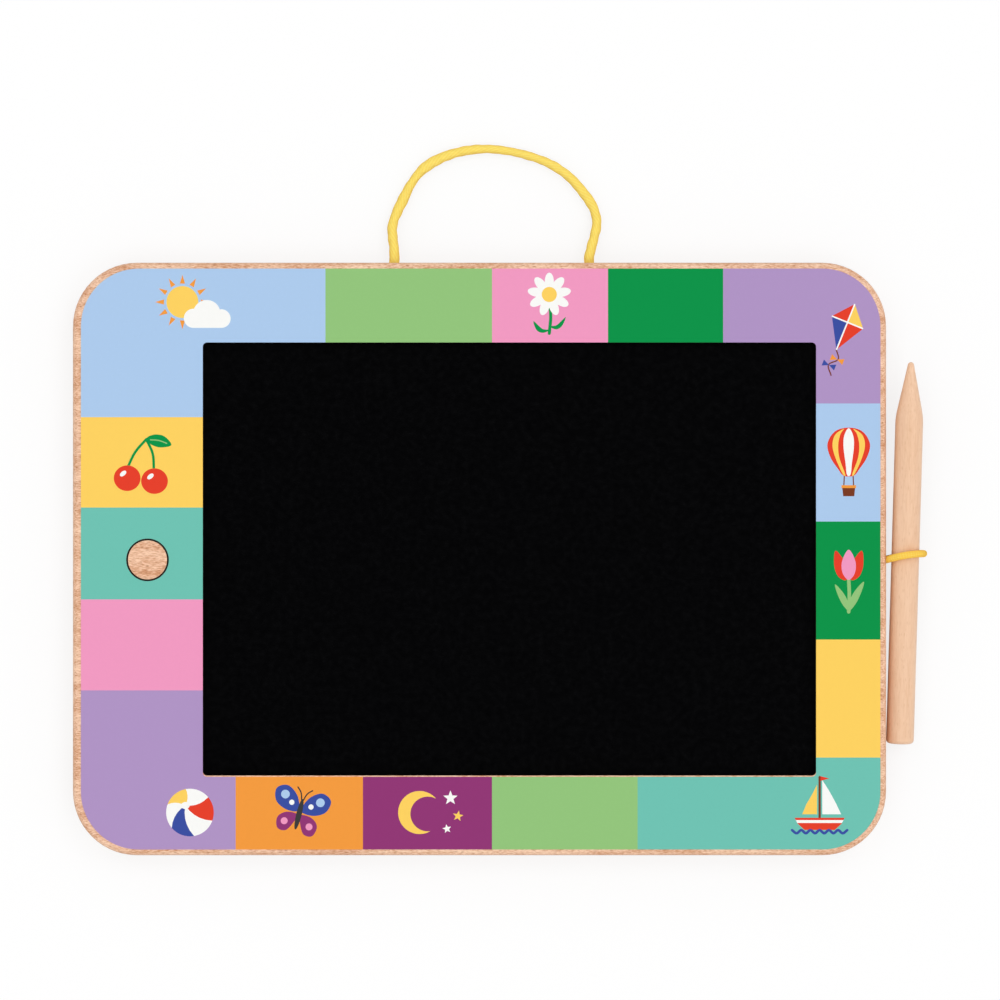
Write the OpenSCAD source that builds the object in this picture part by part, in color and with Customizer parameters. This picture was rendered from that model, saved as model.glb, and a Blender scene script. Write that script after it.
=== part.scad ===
// Child's wooden writing tablet with an erasable liquid-crystal screen.
// It lies on its back: X runs to the right, Y towards the rope handle and Z
// towards the viewer. The origin is the middle of the back face.

/* [Window] */
// Width of the window in the front panel
window_w = 211; // [160:1:260]
// Height of the window in the front panel
window_h = 149; // [120:1:190]
// Corner radius of the window
window_r = 1.5; // [0.5:0.1:4]

/* [Board] */
// Border left of the window, which holds the erase button
border_left = 44.8; // [44:0.2:60]
// Border right of the window, which holds the pen loop
border_right = 24.2; // [23:0.2:40]
// Border above the window, which holds the handle
border_top = 27.5; // [26:0.5:45]
// Border below the window
border_bottom = 27.5; // [22:0.5:45]
// Corner radius of the board
corner_r = 22; // [12:1:26]
// Thickness of the front panel
front_t = 3; // [2.5:0.1:5]
// Thickness of the core frame between the panels
core_t = 6; // [5.8:0.1:9]
// Thickness of the back panel
back_t = 3; // [2.4:0.1:3.4]
// Radius of the rounded outer edges, front and back
edge_r = 2; // [0.5:0.1:2.3]

/* [Print] */
// Thickness of the printed film on the front panel
print_t = 0.1; // [0.05:0.05:0.3]
// Flat bare wood between the print and the rounded edge
print_inset = 0.1; // [0.1:0.1:4]
// The same at the left edge, where the print sits further in
print_inset_left = 0.9; // [0.1:0.1:4]
// Bare wood left under the lower edge of the window
print_lip = 0.45; // [0:0.05:2]

/* [Screen] */
// Overlap of the writing film behind the front panel
film_overlap = 4; // [2:0.5:4.5]
// Thickness of the writing film
film_t = 0.8; // [0.5:0.1:1.2]
// Thickness of the foam gasket between film and front panel
gasket_t = 0.5; // [0.3:0.1:1]
// Distance of the gasket behind the edge of the window
gasket_setback = 1; // [0.5:0.1:1.5]
// Thickness of the backing plate
backing_t = 1.5; // [1:0.1:2]
// Clearance round the screen in its pocket
screen_fit = 0.3; // [0.1:0.1:0.6]
// Foam pads behind the backing plate, from left to right
pads_across = 3; // [1:1:5]
// Foam pads behind the backing plate, from top to bottom
pads_down = 2; // [1:1:4]
// Gap between two foam pads
pad_gap = 10; // [4:1:30]
// Width of the flexible tail of the writing film
tail_w = 8; // [4:1:12]
// Thickness of the flexible tail
tail_t = 0.2; // [0.1:0.05:0.3]
// Length of the tail that is bonded under the circuit board
tail_bond = 5; // [3:0.5:7]
// Length of the tail that leaves the film flat
tail_flat = 1; // [0.5:0.1:1.4]

/* [Erase button] */
// Distance of the button from the left edge of the board
button_inset = 25.8; // [24:0.2:28]
// Height of the button above the middle of the board
button_y = -0.3; // [-10:0.1:20]
// Diameter of the wooden cap
cap_d = 13.5; // [10:0.1:14.5]
// Thickness of the wooden cap
cap_t = 2.6; // [1.8:0.1:2.8]
// Height of the cap above the front panel
cap_proud = 0.5; // [0.2:0.1:1]
// Rounded upper edge of the cap
cap_edge_r = 0.4; // [0.2:0.1:1]
// Gap round the cap in the front panel
cap_gap = 0.45; // [0.3:0.05:0.8]
// How much narrower the carrier's boss is than the cap
boss_step = 0.5; // [0.2:0.1:2]
// Diameter of the carrier's retaining flange
flange_d = 17.5; // [16.5:0.1:18]
// Thickness of the retaining flange
flange_t = 1.1; // [0.8:0.1:1.3]
// Diameter of the stem that presses the dome
stem_d = 4; // [2:0.1:6]
// Running clearance of the flange in its guide
guide_fit = 0.05; // [0.02:0.01:0.1]
// Clearance between the button and what stops it at rest
stop_gap = 0.1; // [0.05:0.05:0.2]
// Diameter of the metal snap dome
dome_d = 8.4; // [6:0.1:10]
// Height of the metal snap dome
dome_h = 1.2; // [1:0.05:1.3]
// Sheet thickness of the metal snap dome
dome_t = 0.15; // [0.1:0.05:0.3]

/* [Electronics] */
// Width of the circuit board and of the button housing
circuit_w = 22; // [21.5:0.1:24]
// Length of the circuit board and of the button housing
circuit_l = 34; // [32:0.5:36]
// Thickness of the circuit board
circuit_t = 1; // [0.8:0.1:1.2]
// Height of the button housing over the circuit board
housing_t = 3; // [2.9:0.1:3.2]
// Clearance round the circuit board in its pocket
circuit_fit = 0.5; // [0.2:0.1:1]
// Height of the chip under the circuit board
chip_h = 1.4; // [0.8:0.1:1.4]
// Distance of the two board screws from the button
board_screw_pitch = 13.5; // [12.5:0.1:14]
// Shank diameter of the board screws
board_screw_d = 2; // [1.6:0.1:2.5]
// Length of the board screws under the head
board_screw_l = 3.2; // [2:0.1:3.4]
// Head diameter of the board screws
board_head_d = 3.6; // [3:0.1:4.5]
// Head height of the board screws
board_head_h = 1; // [0.6:0.1:1.2]

/* [Battery] */
// Distance of the battery tray's centre line from the left edge
battery_inset = 24; // [22:0.2:26]
// Distance of the tray's middle below the button
battery_drop = 42; // [40:0.5:48]
// Diameter of the coin cell
cell_d = 20; // [16:0.5:20]
// Thickness of the coin cell
cell_t = 2.5; // [2:0.1:3.2]
// Width of the seal round the coin cell's cap
cell_rim = 0.6; // [0.4:0.1:1]
// Height of the coin cell's cap over its can
cell_step = 0.3; // [0.2:0.1:0.6]
// Clearance round the coin cell
cell_fit = 0.3; // [0.2:0.05:0.5]
// Distance of the coin cell from the tray's middle
cell_shift = 5; // [4:0.5:5.5]
// Width of the battery tray and its door
tray_w = 26; // [24:0.5:28]
// Length of the battery tray and its door
tray_l = 40; // [38:0.5:42]
// Thickness of the tray over the coin cell
tray_roof = 1.5; // [1:0.1:1.8]
// Width of the two ribs that bear on the front panel
tray_rib = 3; // [2:0.5:5]
// Corner radius of the tray and its door
tray_r = 2; // [1:0.5:4]
// Thickness of the battery door
door_t = 1.8; // [1.6:0.1:2]
// Depth of the door below the back face
door_recess = 0.2; // [0.1:0.1:0.4]
// Clearance round the tray and the door
door_fit = 0.3; // [0.2:0.05:0.5]
// Sheet thickness of the battery contacts
contact_t = 0.2; // [0.15:0.05:0.3]
// Play between the coin cell and what lies over and under it
cell_play = 0.1; // [0.05:0.05:0.2]
// Width of the positive contact's leaf beside the coin cell
leaf_w = 5; // [3:0.5:6]
// Width of the contacts' tabs
tab_w = 3; // [2:0.5:4]
// Clearance round the contacts and the leads
tab_fit = 0.3; // [0.2:0.05:0.5]
// Distance between the two battery leads
lead_pitch = 7; // [6:0.5:8]
// Diameter of the battery leads
lead_d = 1.2; // [0.8:0.1:1.4]
// Diameter of the brass insert for the door screw
insert_d = 4; // [3.2:0.1:5]
// Length of the brass insert
insert_l = 4; // [3:0.1:4.2]

/* [Screws] */
// Shank diameter of the door screw
door_screw_d = 2; // [1.6:0.1:2.5]
// Length of the door screw
door_screw_l = 5.2; // [4:0.1:5.4]
// Head diameter of the door screw
door_head_d = 3.8; // [3:0.1:4.2]
// Distance of the door screw from the tray's end
door_screw_inset = 6; // [4:0.5:7]
// Shank diameter of the back panel's screws
screw_d = 3; // [2.5:0.1:3.5]
// Length of the back panel's screws
screw_l = 7.5; // [5:0.1:8]
// Head diameter of the back panel's screws
screw_head_d = 5.6; // [5:0.1:6.5]
// Distance of the corner screws from the board's edges
screw_inset = 14; // [11:0.5:16]
// Clearance of a screw in its hole
screw_fit = 0.05; // [0.02:0.01:0.1]

/* [Handle] */
// Distance of the handle from the middle of the board
handle_x = 4.2; // [-10:0.2:10]
// Distance between the feet of the handle
handle_span = 67.2; // [66:0.1:68]
// Diameter of the rope
cord_d = 3.3; // [3:0.1:4]
// Clearance of a cord in its hole
cord_fit = 0.25; // [0.1:0.05:0.4]
// Depth of the rope's hole before the knot's pocket
knot_depth = 9; // [6:0.5:10]
// Diameter of the knots
knot_d = 5.6; // [5.2:0.1:5.7]
// Length of the knots
knot_l = 7; // [6:0.5:8]
// Clearance round a knot in its pocket
knot_fit = 1; // [0.5:0.1:1.5]
// Depth to which a cord is drawn into its knot
knot_bite = 0.5; // [0.2:0.1:1]
// Gap between the rope's foot and the board's edge
foot_gap = 0.3; // [0.2:0.1:0.6]

/* [Pen] */
// Diameter of the pen
pen_d = 9.6; // [8:0.1:10]
// Length of the pen
pen_l = 131.7; // [110:0.5:150]
// Length of the pen's cone
nose_l = 19; // [12:0.5:26]
// Radius that softens the shoulder between the pen's body and its cone
shoulder_r = 20; // [5:1:40]
// Radius of the pen's tip
tip_r = 1.1; // [0.6:0.1:1.8]
// Rounded edge of the pen's butt
butt_r = 1.4; // [0.5:0.1:3]
// Lean of the pen away from the board, in degrees
pen_lean = 1.5; // [0.8:0.1:1.8]
// Length of the pen below its loop
pen_below = 64.5; // [55:0.5:75]
// Gap between the pen's butt and the board
pen_gap = 0.3; // [0.2:0.1:0.6]
// Diameter of the elastic loop
loop_d = 2.5; // [2:0.1:2.6]
// Gap between the pen and the loop
loop_slack = 0.3; // [0.2:0.05:0.4]
// Gap between the lowest cord and the table
table_gap = 0.1; // [0.05:0.05:0.3]
// Turn of the loop out of the square, in degrees
loop_yaw = 8; // [0:1:12]
// Height of the loop above the middle of the board
loop_y = -0.3; // [-10:0.1:10]
// Height of the loop's two mouths from the middle of the edge
loop_rise = 3.2; // [2.8:0.1:3.4]
// Depth of the loop's holes before the knot's pocket
loop_depth = 8; // [6:0.5:8.5]
// Play of each strand beside the other at the knot
strand_play = 0.2; // [0.1:0.05:0.25]

/* [Hidden] */
$fn = 64;
// Overshoot of a cut
cut = 1;

// Layers, from the back to the front
z_core = back_t;
z_front = back_t + core_t;
z_top = z_front + front_t;
z_mid = back_t + core_t / 2;

// Outline of the board and middle of the window
board_w = border_left + window_w + border_right;
board_h = border_bottom + window_h + border_top;
left_x = -board_w / 2;
right_x = board_w / 2;
top_y = board_h / 2;
window_x = (border_left - border_right) / 2;
window_y = (border_bottom - border_top) / 2;

// Screen sandwich, hung under the front panel
film_w = window_w + 2 * film_overlap;
film_h = window_h + 2 * film_overlap;
z_film = z_front - gasket_t - film_t;
z_backing = z_film - backing_t;
pad_w = (film_w - pad_gap * (pads_across + 1)) / pads_across;
pad_h = (film_h - pad_gap * (pads_down + 1)) / pads_down;

// Erase button, its housing and the circuit board
button_x = left_x + button_inset;
z_circuit = z_front - housing_t - circuit_t;
z_dome = z_circuit + circuit_t;
z_flange = z_front - stop_gap - flange_t;
z_stem = z_dome + dome_h + stop_gap;
z_cap = z_top + cap_proud - cap_t;
boss_d = cap_d - boss_step;
hole_d = cap_d + 2 * cap_gap;
guide_d = flange_d + 2 * guide_fit;
dome_r = (pow(dome_d / 2, 2) + dome_h * dome_h) / (2 * dome_h);
board_screw_y = [button_y - board_screw_pitch, button_y + board_screw_pitch];

// Battery tray and what lies in it
tray_x = left_x + battery_inset;
tray_y = button_y - battery_drop;
tray_top_y = tray_y + tray_l / 2;
cell_y = tray_y + cell_shift;
z_rim = door_recess + door_t;
z_cell = z_rim + cell_play;
z_contact = z_cell + cell_t + cell_play;
z_ceiling = z_contact + contact_t;
z_tray = z_ceiling + tray_roof;
leaf_y = cell_d / 2 + cell_play;
lead_x = [tray_x - lead_pitch / 2, tray_x + lead_pitch / 2];
lead_start = tray_top_y + tab_fit;
lead_end = board_screw_y[0] - board_head_d / 2 - tab_fit;
z_lead = z_circuit - tab_fit - lead_d / 2;
door_screw_y = tray_y - tray_l / 2 + door_screw_inset;
door_head_h = (door_head_d - door_screw_d) / 2;

// Screws of the back panel: four corners, and the middle of two sides
screw_head_h = (screw_head_d - screw_d) / 2;
screw_spots = [
  for (sx = [-1, 1]) for (sy = [-1, 1])
    [sx * (right_x - screw_inset), sy * (top_y - screw_inset)],
  for (sy = [-1, 1]) [handle_x, sy * (top_y - screw_inset)],
];

// Rope handle: a half arch that leaves the upper edge, sinks to the table and
// lies there, as [along the edge, out from the edge, height]
foot_out = cord_d / 2 + foot_gap;
foot_x = [handle_x - handle_span / 2, handle_x + handle_span / 2];
rope_route = [
  [-handle_span / 2, foot_out, z_mid],
  [-33.7, 5, 5.6],
  [-34.2, 9, 4.2],
  [-34.3, 13.1, 2.8],
  [-32.8, 17.7, 2],
  [-30.6, 22.3, 1.75],
  [-28, 27.4, 1.75],
  [-24.1, 32.4, 1.75],
  [-18.3, 36.2, 1.75],
  [-11, 38.7, 1.75],
  [-2.8, 39.7, 1.75],
  [4.8, 39.1, 1.75],
  [12.5, 37.4, 1.75],
  [20, 34.6, 1.75],
  [26.5, 30.3, 1.75],
  [31.5, 24.8, 1.75],
  [35, 19.6, 1.9],
  [36.3, 14.5, 2.6],
  [35.6, 10, 3.9],
  [34.4, 5.5, 5.5],
  [handle_span / 2, foot_out, z_mid],
];
// Rounded feet of the rope: rings behind its ends, and their widths
foot_back = [0.92, 0.6];
foot_width = [0.4, 0.8];

// Pen: it lies on its butt and on the lower strand of the loop
pen_r = pen_d / 2;
loop_r = pen_r + loop_slack + loop_d / 2;
loop_z = table_gap + loop_d / 2 + loop_r;
butt_z = table_gap + pen_r;
pen_pitch = asin((loop_z - butt_z) / pen_below);
butt_x = right_x + pen_gap + pen_r;
pen_axis = [
  sin(pen_lean) * cos(pen_pitch),
  cos(pen_lean) * cos(pen_pitch),
  sin(pen_pitch),
];
loop_out = (butt_x + pen_below * pen_axis[0] - right_x) / cos(loop_yaw);
butt_y = loop_y + loop_out * sin(loop_yaw) - pen_below * pen_axis[1];
nose_reach = norm([pen_r, nose_l - tip_r]);
nose_angle = acos(tip_r / nose_reach) - atan2(nose_l - tip_r, pen_r);

// Elastic loop, in its own upright plane: [out from the edge, height]
mouth_up = [0, z_mid + loop_rise];
mouth_low = [0, z_mid - loop_rise];
strand_gap = loop_d / 2 + strand_play;
loop_inner = loop_depth + knot_fit + knot_bite;
inner_up = [-loop_inner, z_mid + strand_gap];
inner_low = [-loop_inner, z_mid - strand_gap];
loop_middle = [loop_out, loop_z];
arc_start = leaving_angle(mouth_up, 1) + 90;
arc_end = leaving_angle(mouth_low, -1) - 90;
arc_steps = 20;
loop_arc = [
  for (i = [0 : arc_steps])
    let (a = arc_start + (arc_end - arc_start) * i / arc_steps)
      loop_middle + loop_r * [cos(a), sin(a)],
];
loop_plane = concat([inner_up, mouth_up], loop_arc, [mouth_low, inner_low]);

// Direction in which a strand leaves its mouth to touch the loop's circle
function leaving_angle(mouth, side) =
  let (d = loop_middle - mouth)
    atan2(d[1], d[0]) + side * asin(loop_r / norm(d));

// Point of the loop's plane in the part's frame
function on_edge(p) = [
  right_x + p[0] * cos(loop_yaw),
  loop_y + p[0] * sin(loop_yaw),
  p[1],
];

function unit(v) = v / norm(v);

// Direction of a route at one of its points
function heading(route, i) =
  unit(route[min(i + 1, len(route) - 1)] - route[max(i - 1, 0)]);

// Sideways direction that turns with the route as little as it can
function sideways(route, i, before) =
  let (t = heading(route, i))
    unit(before - t * (before * t));

// Sideways directions at all points of a route
function all_sideways(route, i, before) =
  i == len(route)
    ? []
    : let (s = sideways(route, i, before))
        concat([s], all_sideways(route, i + 1, s));

// Rectangle with round corners, about its middle
module rounded_rect(w, h, r) {
  square([w - 2 * r, h], center = true);
  square([w, h - 2 * r], center = true);
  for (sx = [-1, 1])
    for (sy = [-1, 1])
      translate([sx * (w / 2 - r), sy * (h / 2 - r)])
        circle(r);
}

// Quarter of a disc, in the first quadrant
module quarter_disc(r) {
  intersection() {
    circle(r);
    square(r);
  }
}

// Panel of the board's outline whose upper outer edge is rounded
module round_edge_panel(t) {
  straight_w = board_w - 2 * corner_r;
  straight_h = board_h - 2 * corner_r;
  linear_extrude(t - edge_r)
    rounded_rect(board_w, board_h, corner_r);
  translate([0, 0, t - edge_r])
    linear_extrude(edge_r)
      rounded_rect(board_w - 2 * edge_r, board_h - 2 * edge_r, corner_r - edge_r);
  for (turn = [0, 180]) {
    rotate(turn)
      translate([straight_w / 2, board_h / 2 - edge_r, t - edge_r])
        rotate([90, 0, -90])
          linear_extrude(straight_w)
            mirror([1, 0])
              quarter_disc(edge_r);
    rotate(turn)
      translate([board_w / 2 - edge_r, straight_h / 2, t - edge_r])
        rotate([90, 0, 0])
          linear_extrude(straight_h)
            quarter_disc(edge_r);
  }
  for (sx = [-1, 1])
    for (sy = [-1, 1])
      translate([sx * straight_w / 2, sy * straight_h / 2, t - edge_r])
        mirror([sx < 0 ? 1 : 0, 0, 0])
          mirror([0, sy < 0 ? 1 : 0, 0])
            rotate_extrude(angle = 90)
              translate([corner_r - edge_r, 0])
                quarter_disc(edge_r);
}

// Pin with half-round ends, standing on the origin
module capsule(d, l) {
  r = d / 2;
  rotate_extrude()
    intersection() {
      union() {
        translate([0, r])
          circle(r);
        translate([0, l - r])
          circle(r);
        translate([0, r])
          square([r, l - 2 * r]);
      }
      square([r, l]);
    }
}

// Countersunk screw, head downwards, with its head's face on the origin
module countersunk(head_d, head_h, shank_d, l) {
  slot_w = head_d / 6;
  slot_l = head_d * 0.6;
  slot_depth = head_h * 0.7;
  difference() {
    rotate_extrude()
      polygon([
        [0, 0],
        [head_d / 2, 0],
        [shank_d / 2, head_h],
        [shank_d / 2, l - shank_d / 2],
        [0, l],
      ]);
    for (turn = [0, 90])
      rotate(turn)
        cube([slot_l, slot_w, 2 * slot_depth], center = true);
  }
}

// Hole for such a screw, from under its head to past its point
module countersunk_hole(head_d, head_h, shank_d, l) {
  translate([0, 0, -cut])
    cylinder(d = head_d + 2 * screw_fit, h = cut);
  cylinder(d1 = head_d + 2 * screw_fit, d2 = shank_d + 2 * screw_fit, h = head_h);
  cylinder(d = shank_d + 2 * screw_fit, h = l + cut);
}

// Tube along a route, with a width factor for each of its points
module tube(route, d, widths, sides = 8) {
  across = all_sideways(route, 0, [0, 0, 1]);
  last = len(route) - 1;
  points = [
    for (i = [0 : last])
      let (b = cross(heading(route, i), across[i]))
        for (k = [0 : sides - 1])
          let (a = 360 * k / sides)
            route[i] + d / 2 * widths[i] * (cos(a) * across[i] + sin(a) * b),
  ];
  walls = [
    for (i = [0 : last - 1])
      for (k = [0 : sides - 1])
        let (n = (k + 1) % sides)
          [(i + 1) * sides + k, (i + 1) * sides + n, i * sides + n, i * sides + k],
  ];
  first_cap = [for (k = [0 : sides - 1]) k];
  last_cap = [for (k = [sides - 1 : -1 : 0]) last * sides + k];
  polyhedron(points, concat(walls, [first_cap, last_cap]), convexity = 8);
}

// The two slanted holes of the pen loop
module loop_holes() {
  for (pair = [[inner_up, mouth_up], [inner_low, mouth_low]]) {
    run = pair[1] - pair[0];
    translate(on_edge(pair[0]))
      rotate([0, 90 - atan2(run[1], run[0]), loop_yaw])
        translate([0, 0, -cut])
          cylinder(d = loop_d + 2 * cord_fit, h = norm(run) + 3 * cut);
  }
}

// Outline of the tray and the door, widened by a clearance
module tray_outline(wider) {
  translate([tray_x, tray_y])
    rounded_rect(tray_w + 2 * wider, tray_l + 2 * wider, tray_r + wider);
}

module front_panel() {
  color("burlywood")
    difference() {
      translate([0, 0, z_front])
        round_edge_panel(front_t);
      translate([window_x, window_y, z_front - cut])
        linear_extrude(front_t + 2 * cut)
          rounded_rect(window_w, window_h, window_r);
      translate([button_x, button_y, z_front - cut])
        cylinder(d = hole_d, h = front_t + 2 * cut);
      loop_holes();
    }
}

module front_print() {
  margin = edge_r + print_inset;
  margin_left = edge_r + print_inset_left;
  print_w = board_w - margin - margin_left;
  print_h = board_h - 2 * margin;
  color("lightskyblue")
    translate([0, 0, z_top])
      linear_extrude(print_t)
        difference() {
          translate([(margin_left - margin) / 2, 0])
            rounded_rect(print_w, print_h, corner_r - margin);
          translate([window_x, window_y - print_lip / 2])
            rounded_rect(window_w, window_h + print_lip, window_r);
          translate([button_x, button_y])
            circle(d = hole_d);
        }
}

module core_frame() {
  pocket_w = film_w + 2 * screen_fit;
  pocket_h = film_h + 2 * screen_fit;
  circuit_pocket = [circuit_w + 2 * circuit_fit, circuit_l + 2 * circuit_fit];
  knot_pocket = [knot_d + 2 * knot_fit, knot_l + 2 * knot_fit];
  channel_w = lead_pitch + tab_w + 2 * tab_fit;
  color("tan")
    difference() {
      translate([0, 0, z_core])
        linear_extrude(core_t)
          difference() {
            rounded_rect(board_w, board_h, corner_r);
            translate([window_x, window_y])
              square([pocket_w, pocket_h], center = true);
            translate([button_x, button_y])
              square(circuit_pocket, center = true);
            translate([button_x, button_y - tail_w / 2 - circuit_fit])
              square([window_x - button_x, tail_w + 2 * circuit_fit]);
            tray_outline(door_fit);
            translate([tray_x - channel_w / 2, tray_y])
              square([channel_w, battery_drop]);
            for (x = foot_x)
              translate([x, top_y - knot_depth - knot_pocket[1] / 2])
                square(knot_pocket, center = true);
            translate([right_x, loop_y])
              rotate(loop_yaw)
                translate([-loop_depth - knot_pocket[1] / 2, 0])
                  square([knot_pocket[1], knot_pocket[0]], center = true);
            for (spot = screw_spots)
              translate(spot)
                circle(d = screw_d + 2 * screw_fit);
          }
      for (x = foot_x)
        translate([x, top_y + cut, z_mid])
          rotate([90, 0, 0])
            cylinder(d = cord_d + 2 * cord_fit, h = knot_depth + 2 * cut);
      loop_holes();
    }
}

module back_panel() {
  color("burlywood")
    difference() {
      translate([0, 0, back_t])
        mirror([0, 0, 1])
          round_edge_panel(back_t);
      translate([0, 0, -cut])
        linear_extrude(back_t + 2 * cut)
          tray_outline(door_fit);
      for (spot = screw_spots)
        translate(spot)
          countersunk_hole(screw_head_d, screw_head_h, screw_d, screw_l);
      loop_holes();
    }
}

module back_screws() {
  color("silver")
    for (spot = screw_spots)
      translate([spot[0], spot[1], screw_fit])
        countersunk(screw_head_d, screw_head_h, screw_d, screw_l);
}

module screen_gasket() {
  color("dimgray")
    translate([window_x, window_y, z_front - gasket_t])
      linear_extrude(gasket_t)
        difference() {
          square([film_w, film_h], center = true);
          rounded_rect(window_w + 2 * gasket_setback, window_h + 2 * gasket_setback, window_r);
        }
}

module lcd_film() {
  color("black")
    translate([window_x, window_y, z_film])
      linear_extrude(film_t)
        square([film_w, film_h], center = true);
}

module lcd_backing() {
  color("darkslategray")
    translate([window_x, window_y, z_backing])
      linear_extrude(backing_t)
        square([film_w, film_h], center = true);
}

module foam_pads() {
  color("whitesmoke")
    for (i = [0 : pads_across - 1])
      for (j = [0 : pads_down - 1])
        translate([
          window_x - film_w / 2 + pad_gap + i * (pad_w + pad_gap),
          window_y - film_h / 2 + pad_gap + j * (pad_h + pad_gap),
          z_core
        ])
          cube([pad_w, pad_h, z_backing - z_core]);
}

module flex_tail() {
  film_x = window_x - film_w / 2;
  circuit_x = button_x + circuit_w / 2;
  lower = [
    [film_x, z_film],
    [film_x - tail_flat, z_film],
    [circuit_x + circuit_fit, z_circuit - tail_t],
    [circuit_x - tail_bond, z_circuit - tail_t],
  ];
  upper = [for (i = [3 : -1 : 0]) lower[i] + [0, tail_t]];
  color("goldenrod")
    translate([0, button_y + tail_w / 2, 0])
      rotate([90, 0, 0])
        linear_extrude(tail_w)
          polygon(concat(lower, upper));
}

module erase_cap() {
  r = cap_d / 2;
  color("burlywood")
    translate([button_x, button_y, z_cap])
      rotate_extrude() {
        square([r, cap_t - cap_edge_r]);
        square([r - cap_edge_r, cap_t]);
        translate([r - cap_edge_r, cap_t - cap_edge_r])
          quarter_disc(cap_edge_r);
      }
}

module button_carrier() {
  color("black")
    translate([button_x, button_y, 0])
      rotate_extrude()
        polygon([
          [0, z_stem],
          [stem_d / 2, z_stem],
          [stem_d / 2, z_flange],
          [flange_d / 2, z_flange],
          [flange_d / 2, z_flange + flange_t],
          [boss_d / 2, z_flange + flange_t],
          [boss_d / 2, z_cap],
          [0, z_cap],
        ]);
}

module button_housing() {
  color("black")
    difference() {
      translate([button_x, button_y, z_dome])
        linear_extrude(housing_t)
          square([circuit_w, circuit_l], center = true);
      translate([button_x, button_y, z_dome - cut])
        cylinder(d = guide_d, h = housing_t + 2 * cut);
      for (y = board_screw_y)
        translate([button_x, y, z_dome - cut])
          cylinder(d = board_screw_d + 2 * screw_fit, h = board_screw_l - circuit_t + cut + screw_fit);
    }
}

module key_dome() {
  color("silver")
    translate([button_x, button_y, z_dome + dome_h - dome_r])
      rotate_extrude()
        intersection() {
          difference() {
            circle(dome_r);
            circle(dome_r - dome_t);
          }
          translate([0, dome_r - dome_h])
            square([dome_d / 2, dome_h]);
        }
}

module circuit_board() {
  color("darkgreen")
    translate([button_x, button_y, z_circuit])
      linear_extrude(circuit_t)
        difference() {
          square([circuit_w, circuit_l], center = true);
          for (s = [-1, 1])
            translate([0, s * board_screw_pitch])
              circle(d = board_screw_d + 2 * screw_fit);
        }
}

module board_parts() {
  // Chip, coil and two capacitors: [from the button, length, width, share of the chip's height]
  parts = [
    [-2, 5, 6, 5, 1],
    [-8, 0, 3, 3, 0.8],
    [-7, 7, 1.6, 0.9, 0.6],
    [-7, 9.5, 1.6, 0.9, 0.6],
  ];
  color("dimgray")
    for (p = parts)
      let (h = chip_h * p[4])
        translate([button_x + p[0] - p[2] / 2, button_y + p[1] - p[3] / 2, z_circuit - h])
          cube([p[2], p[3], h]);
}

module board_screws() {
  color("silver")
    for (y = board_screw_y)
      translate([button_x, y, z_circuit])
        rotate_extrude()
          polygon([
            [0, -board_head_h],
            [board_head_d / 2, -board_head_h],
            [board_head_d / 2, 0],
            [board_screw_d / 2, 0],
            [board_screw_d / 2, board_screw_l],
            [0, board_screw_l],
          ]);
}

module battery_tray() {
  pocket_h = z_ceiling - z_rim;
  color("black")
    difference() {
      union() {
        translate([0, 0, z_rim])
          linear_extrude(z_tray - z_rim)
            tray_outline(0);
        for (s = [-1, 1])
          translate([tray_x + s * (tray_w - tray_rib) / 2, tray_y, (z_tray + z_front) / 2])
            cube([tray_rib, tray_l - 2 * tray_r, z_front - z_tray], center = true);
      }
      translate([tray_x, cell_y, z_rim - cut])
        cylinder(d = cell_d + 2 * cell_fit, h = pocket_h + cut);
      translate([tray_x + lead_pitch / 2, cell_y + leaf_y / 2 + tab_fit, z_rim - cut + (pocket_h + cut) / 2])
        cube([leaf_w + 2 * tab_fit, leaf_y + 2 * tab_fit, pocket_h + cut], center = true);
      for (x = lead_x)
        translate([x - tab_w / 2 - tab_fit, cell_y, z_contact - tab_fit])
          cube([tab_w + 2 * tab_fit, tray_l, contact_t + tab_fit]);
      translate([tray_x, door_screw_y, z_rim - cut])
        cylinder(d = insert_d + 2 * screw_fit, h = insert_l + cut);
    }
}

module contact_positive() {
  color("gold")
    translate([tray_x + lead_pitch / 2, cell_y, 0]) {
      translate([-leaf_w / 2, leaf_y, z_cell + cell_play])
        cube([leaf_w, contact_t, z_ceiling - z_cell - cell_play]);
      translate([-tab_w / 2, leaf_y, z_contact])
        cube([tab_w, tray_top_y - cell_y - leaf_y, contact_t]);
    }
}

module contact_negative() {
  pad_d = cell_d / 2;
  color("gold")
    translate([tray_x, cell_y, z_contact])
      linear_extrude(contact_t) {
        circle(d = pad_d);
        translate([-lead_pitch / 2 - tab_w / 2, 0])
          square([tab_w, tray_top_y - cell_y]);
      }
}

module coin_cell() {
  color("silver")
    translate([tray_x, cell_y, z_cell])
      rotate_extrude()
        polygon([
          [0, 0],
          [cell_d / 2, 0],
          [cell_d / 2, cell_t - cell_step],
          [cell_d / 2 - cell_rim, cell_t - cell_step],
          [cell_d / 2 - 2 * cell_rim, cell_t],
          [0, cell_t],
        ]);
}

module battery_leads() {
  color("firebrick")
    for (x = lead_x)
      translate([x, lead_end, z_lead])
        rotate([90, 0, 0])
          cylinder(d = lead_d, h = lead_end - lead_start);
}

module battery_door() {
  color("black")
    difference() {
      translate([0, 0, door_recess])
        linear_extrude(door_t)
          tray_outline(0);
      translate([tray_x, door_screw_y, door_recess])
        countersunk_hole(door_head_d, door_head_h, door_screw_d, door_t);
    }
}

module door_screw() {
  color("silver")
    translate([tray_x, door_screw_y, door_recess + screw_fit])
      countersunk(door_head_d, door_head_h, door_screw_d, door_screw_l);
}

module door_insert() {
  color("goldenrod")
    translate([tray_x, door_screw_y, z_rim])
      difference() {
        cylinder(d = insert_d, h = insert_l);
        translate([0, 0, -cut])
          cylinder(d = door_screw_d + 2 * screw_fit, h = insert_l + 2 * cut);
      }
}

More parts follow.
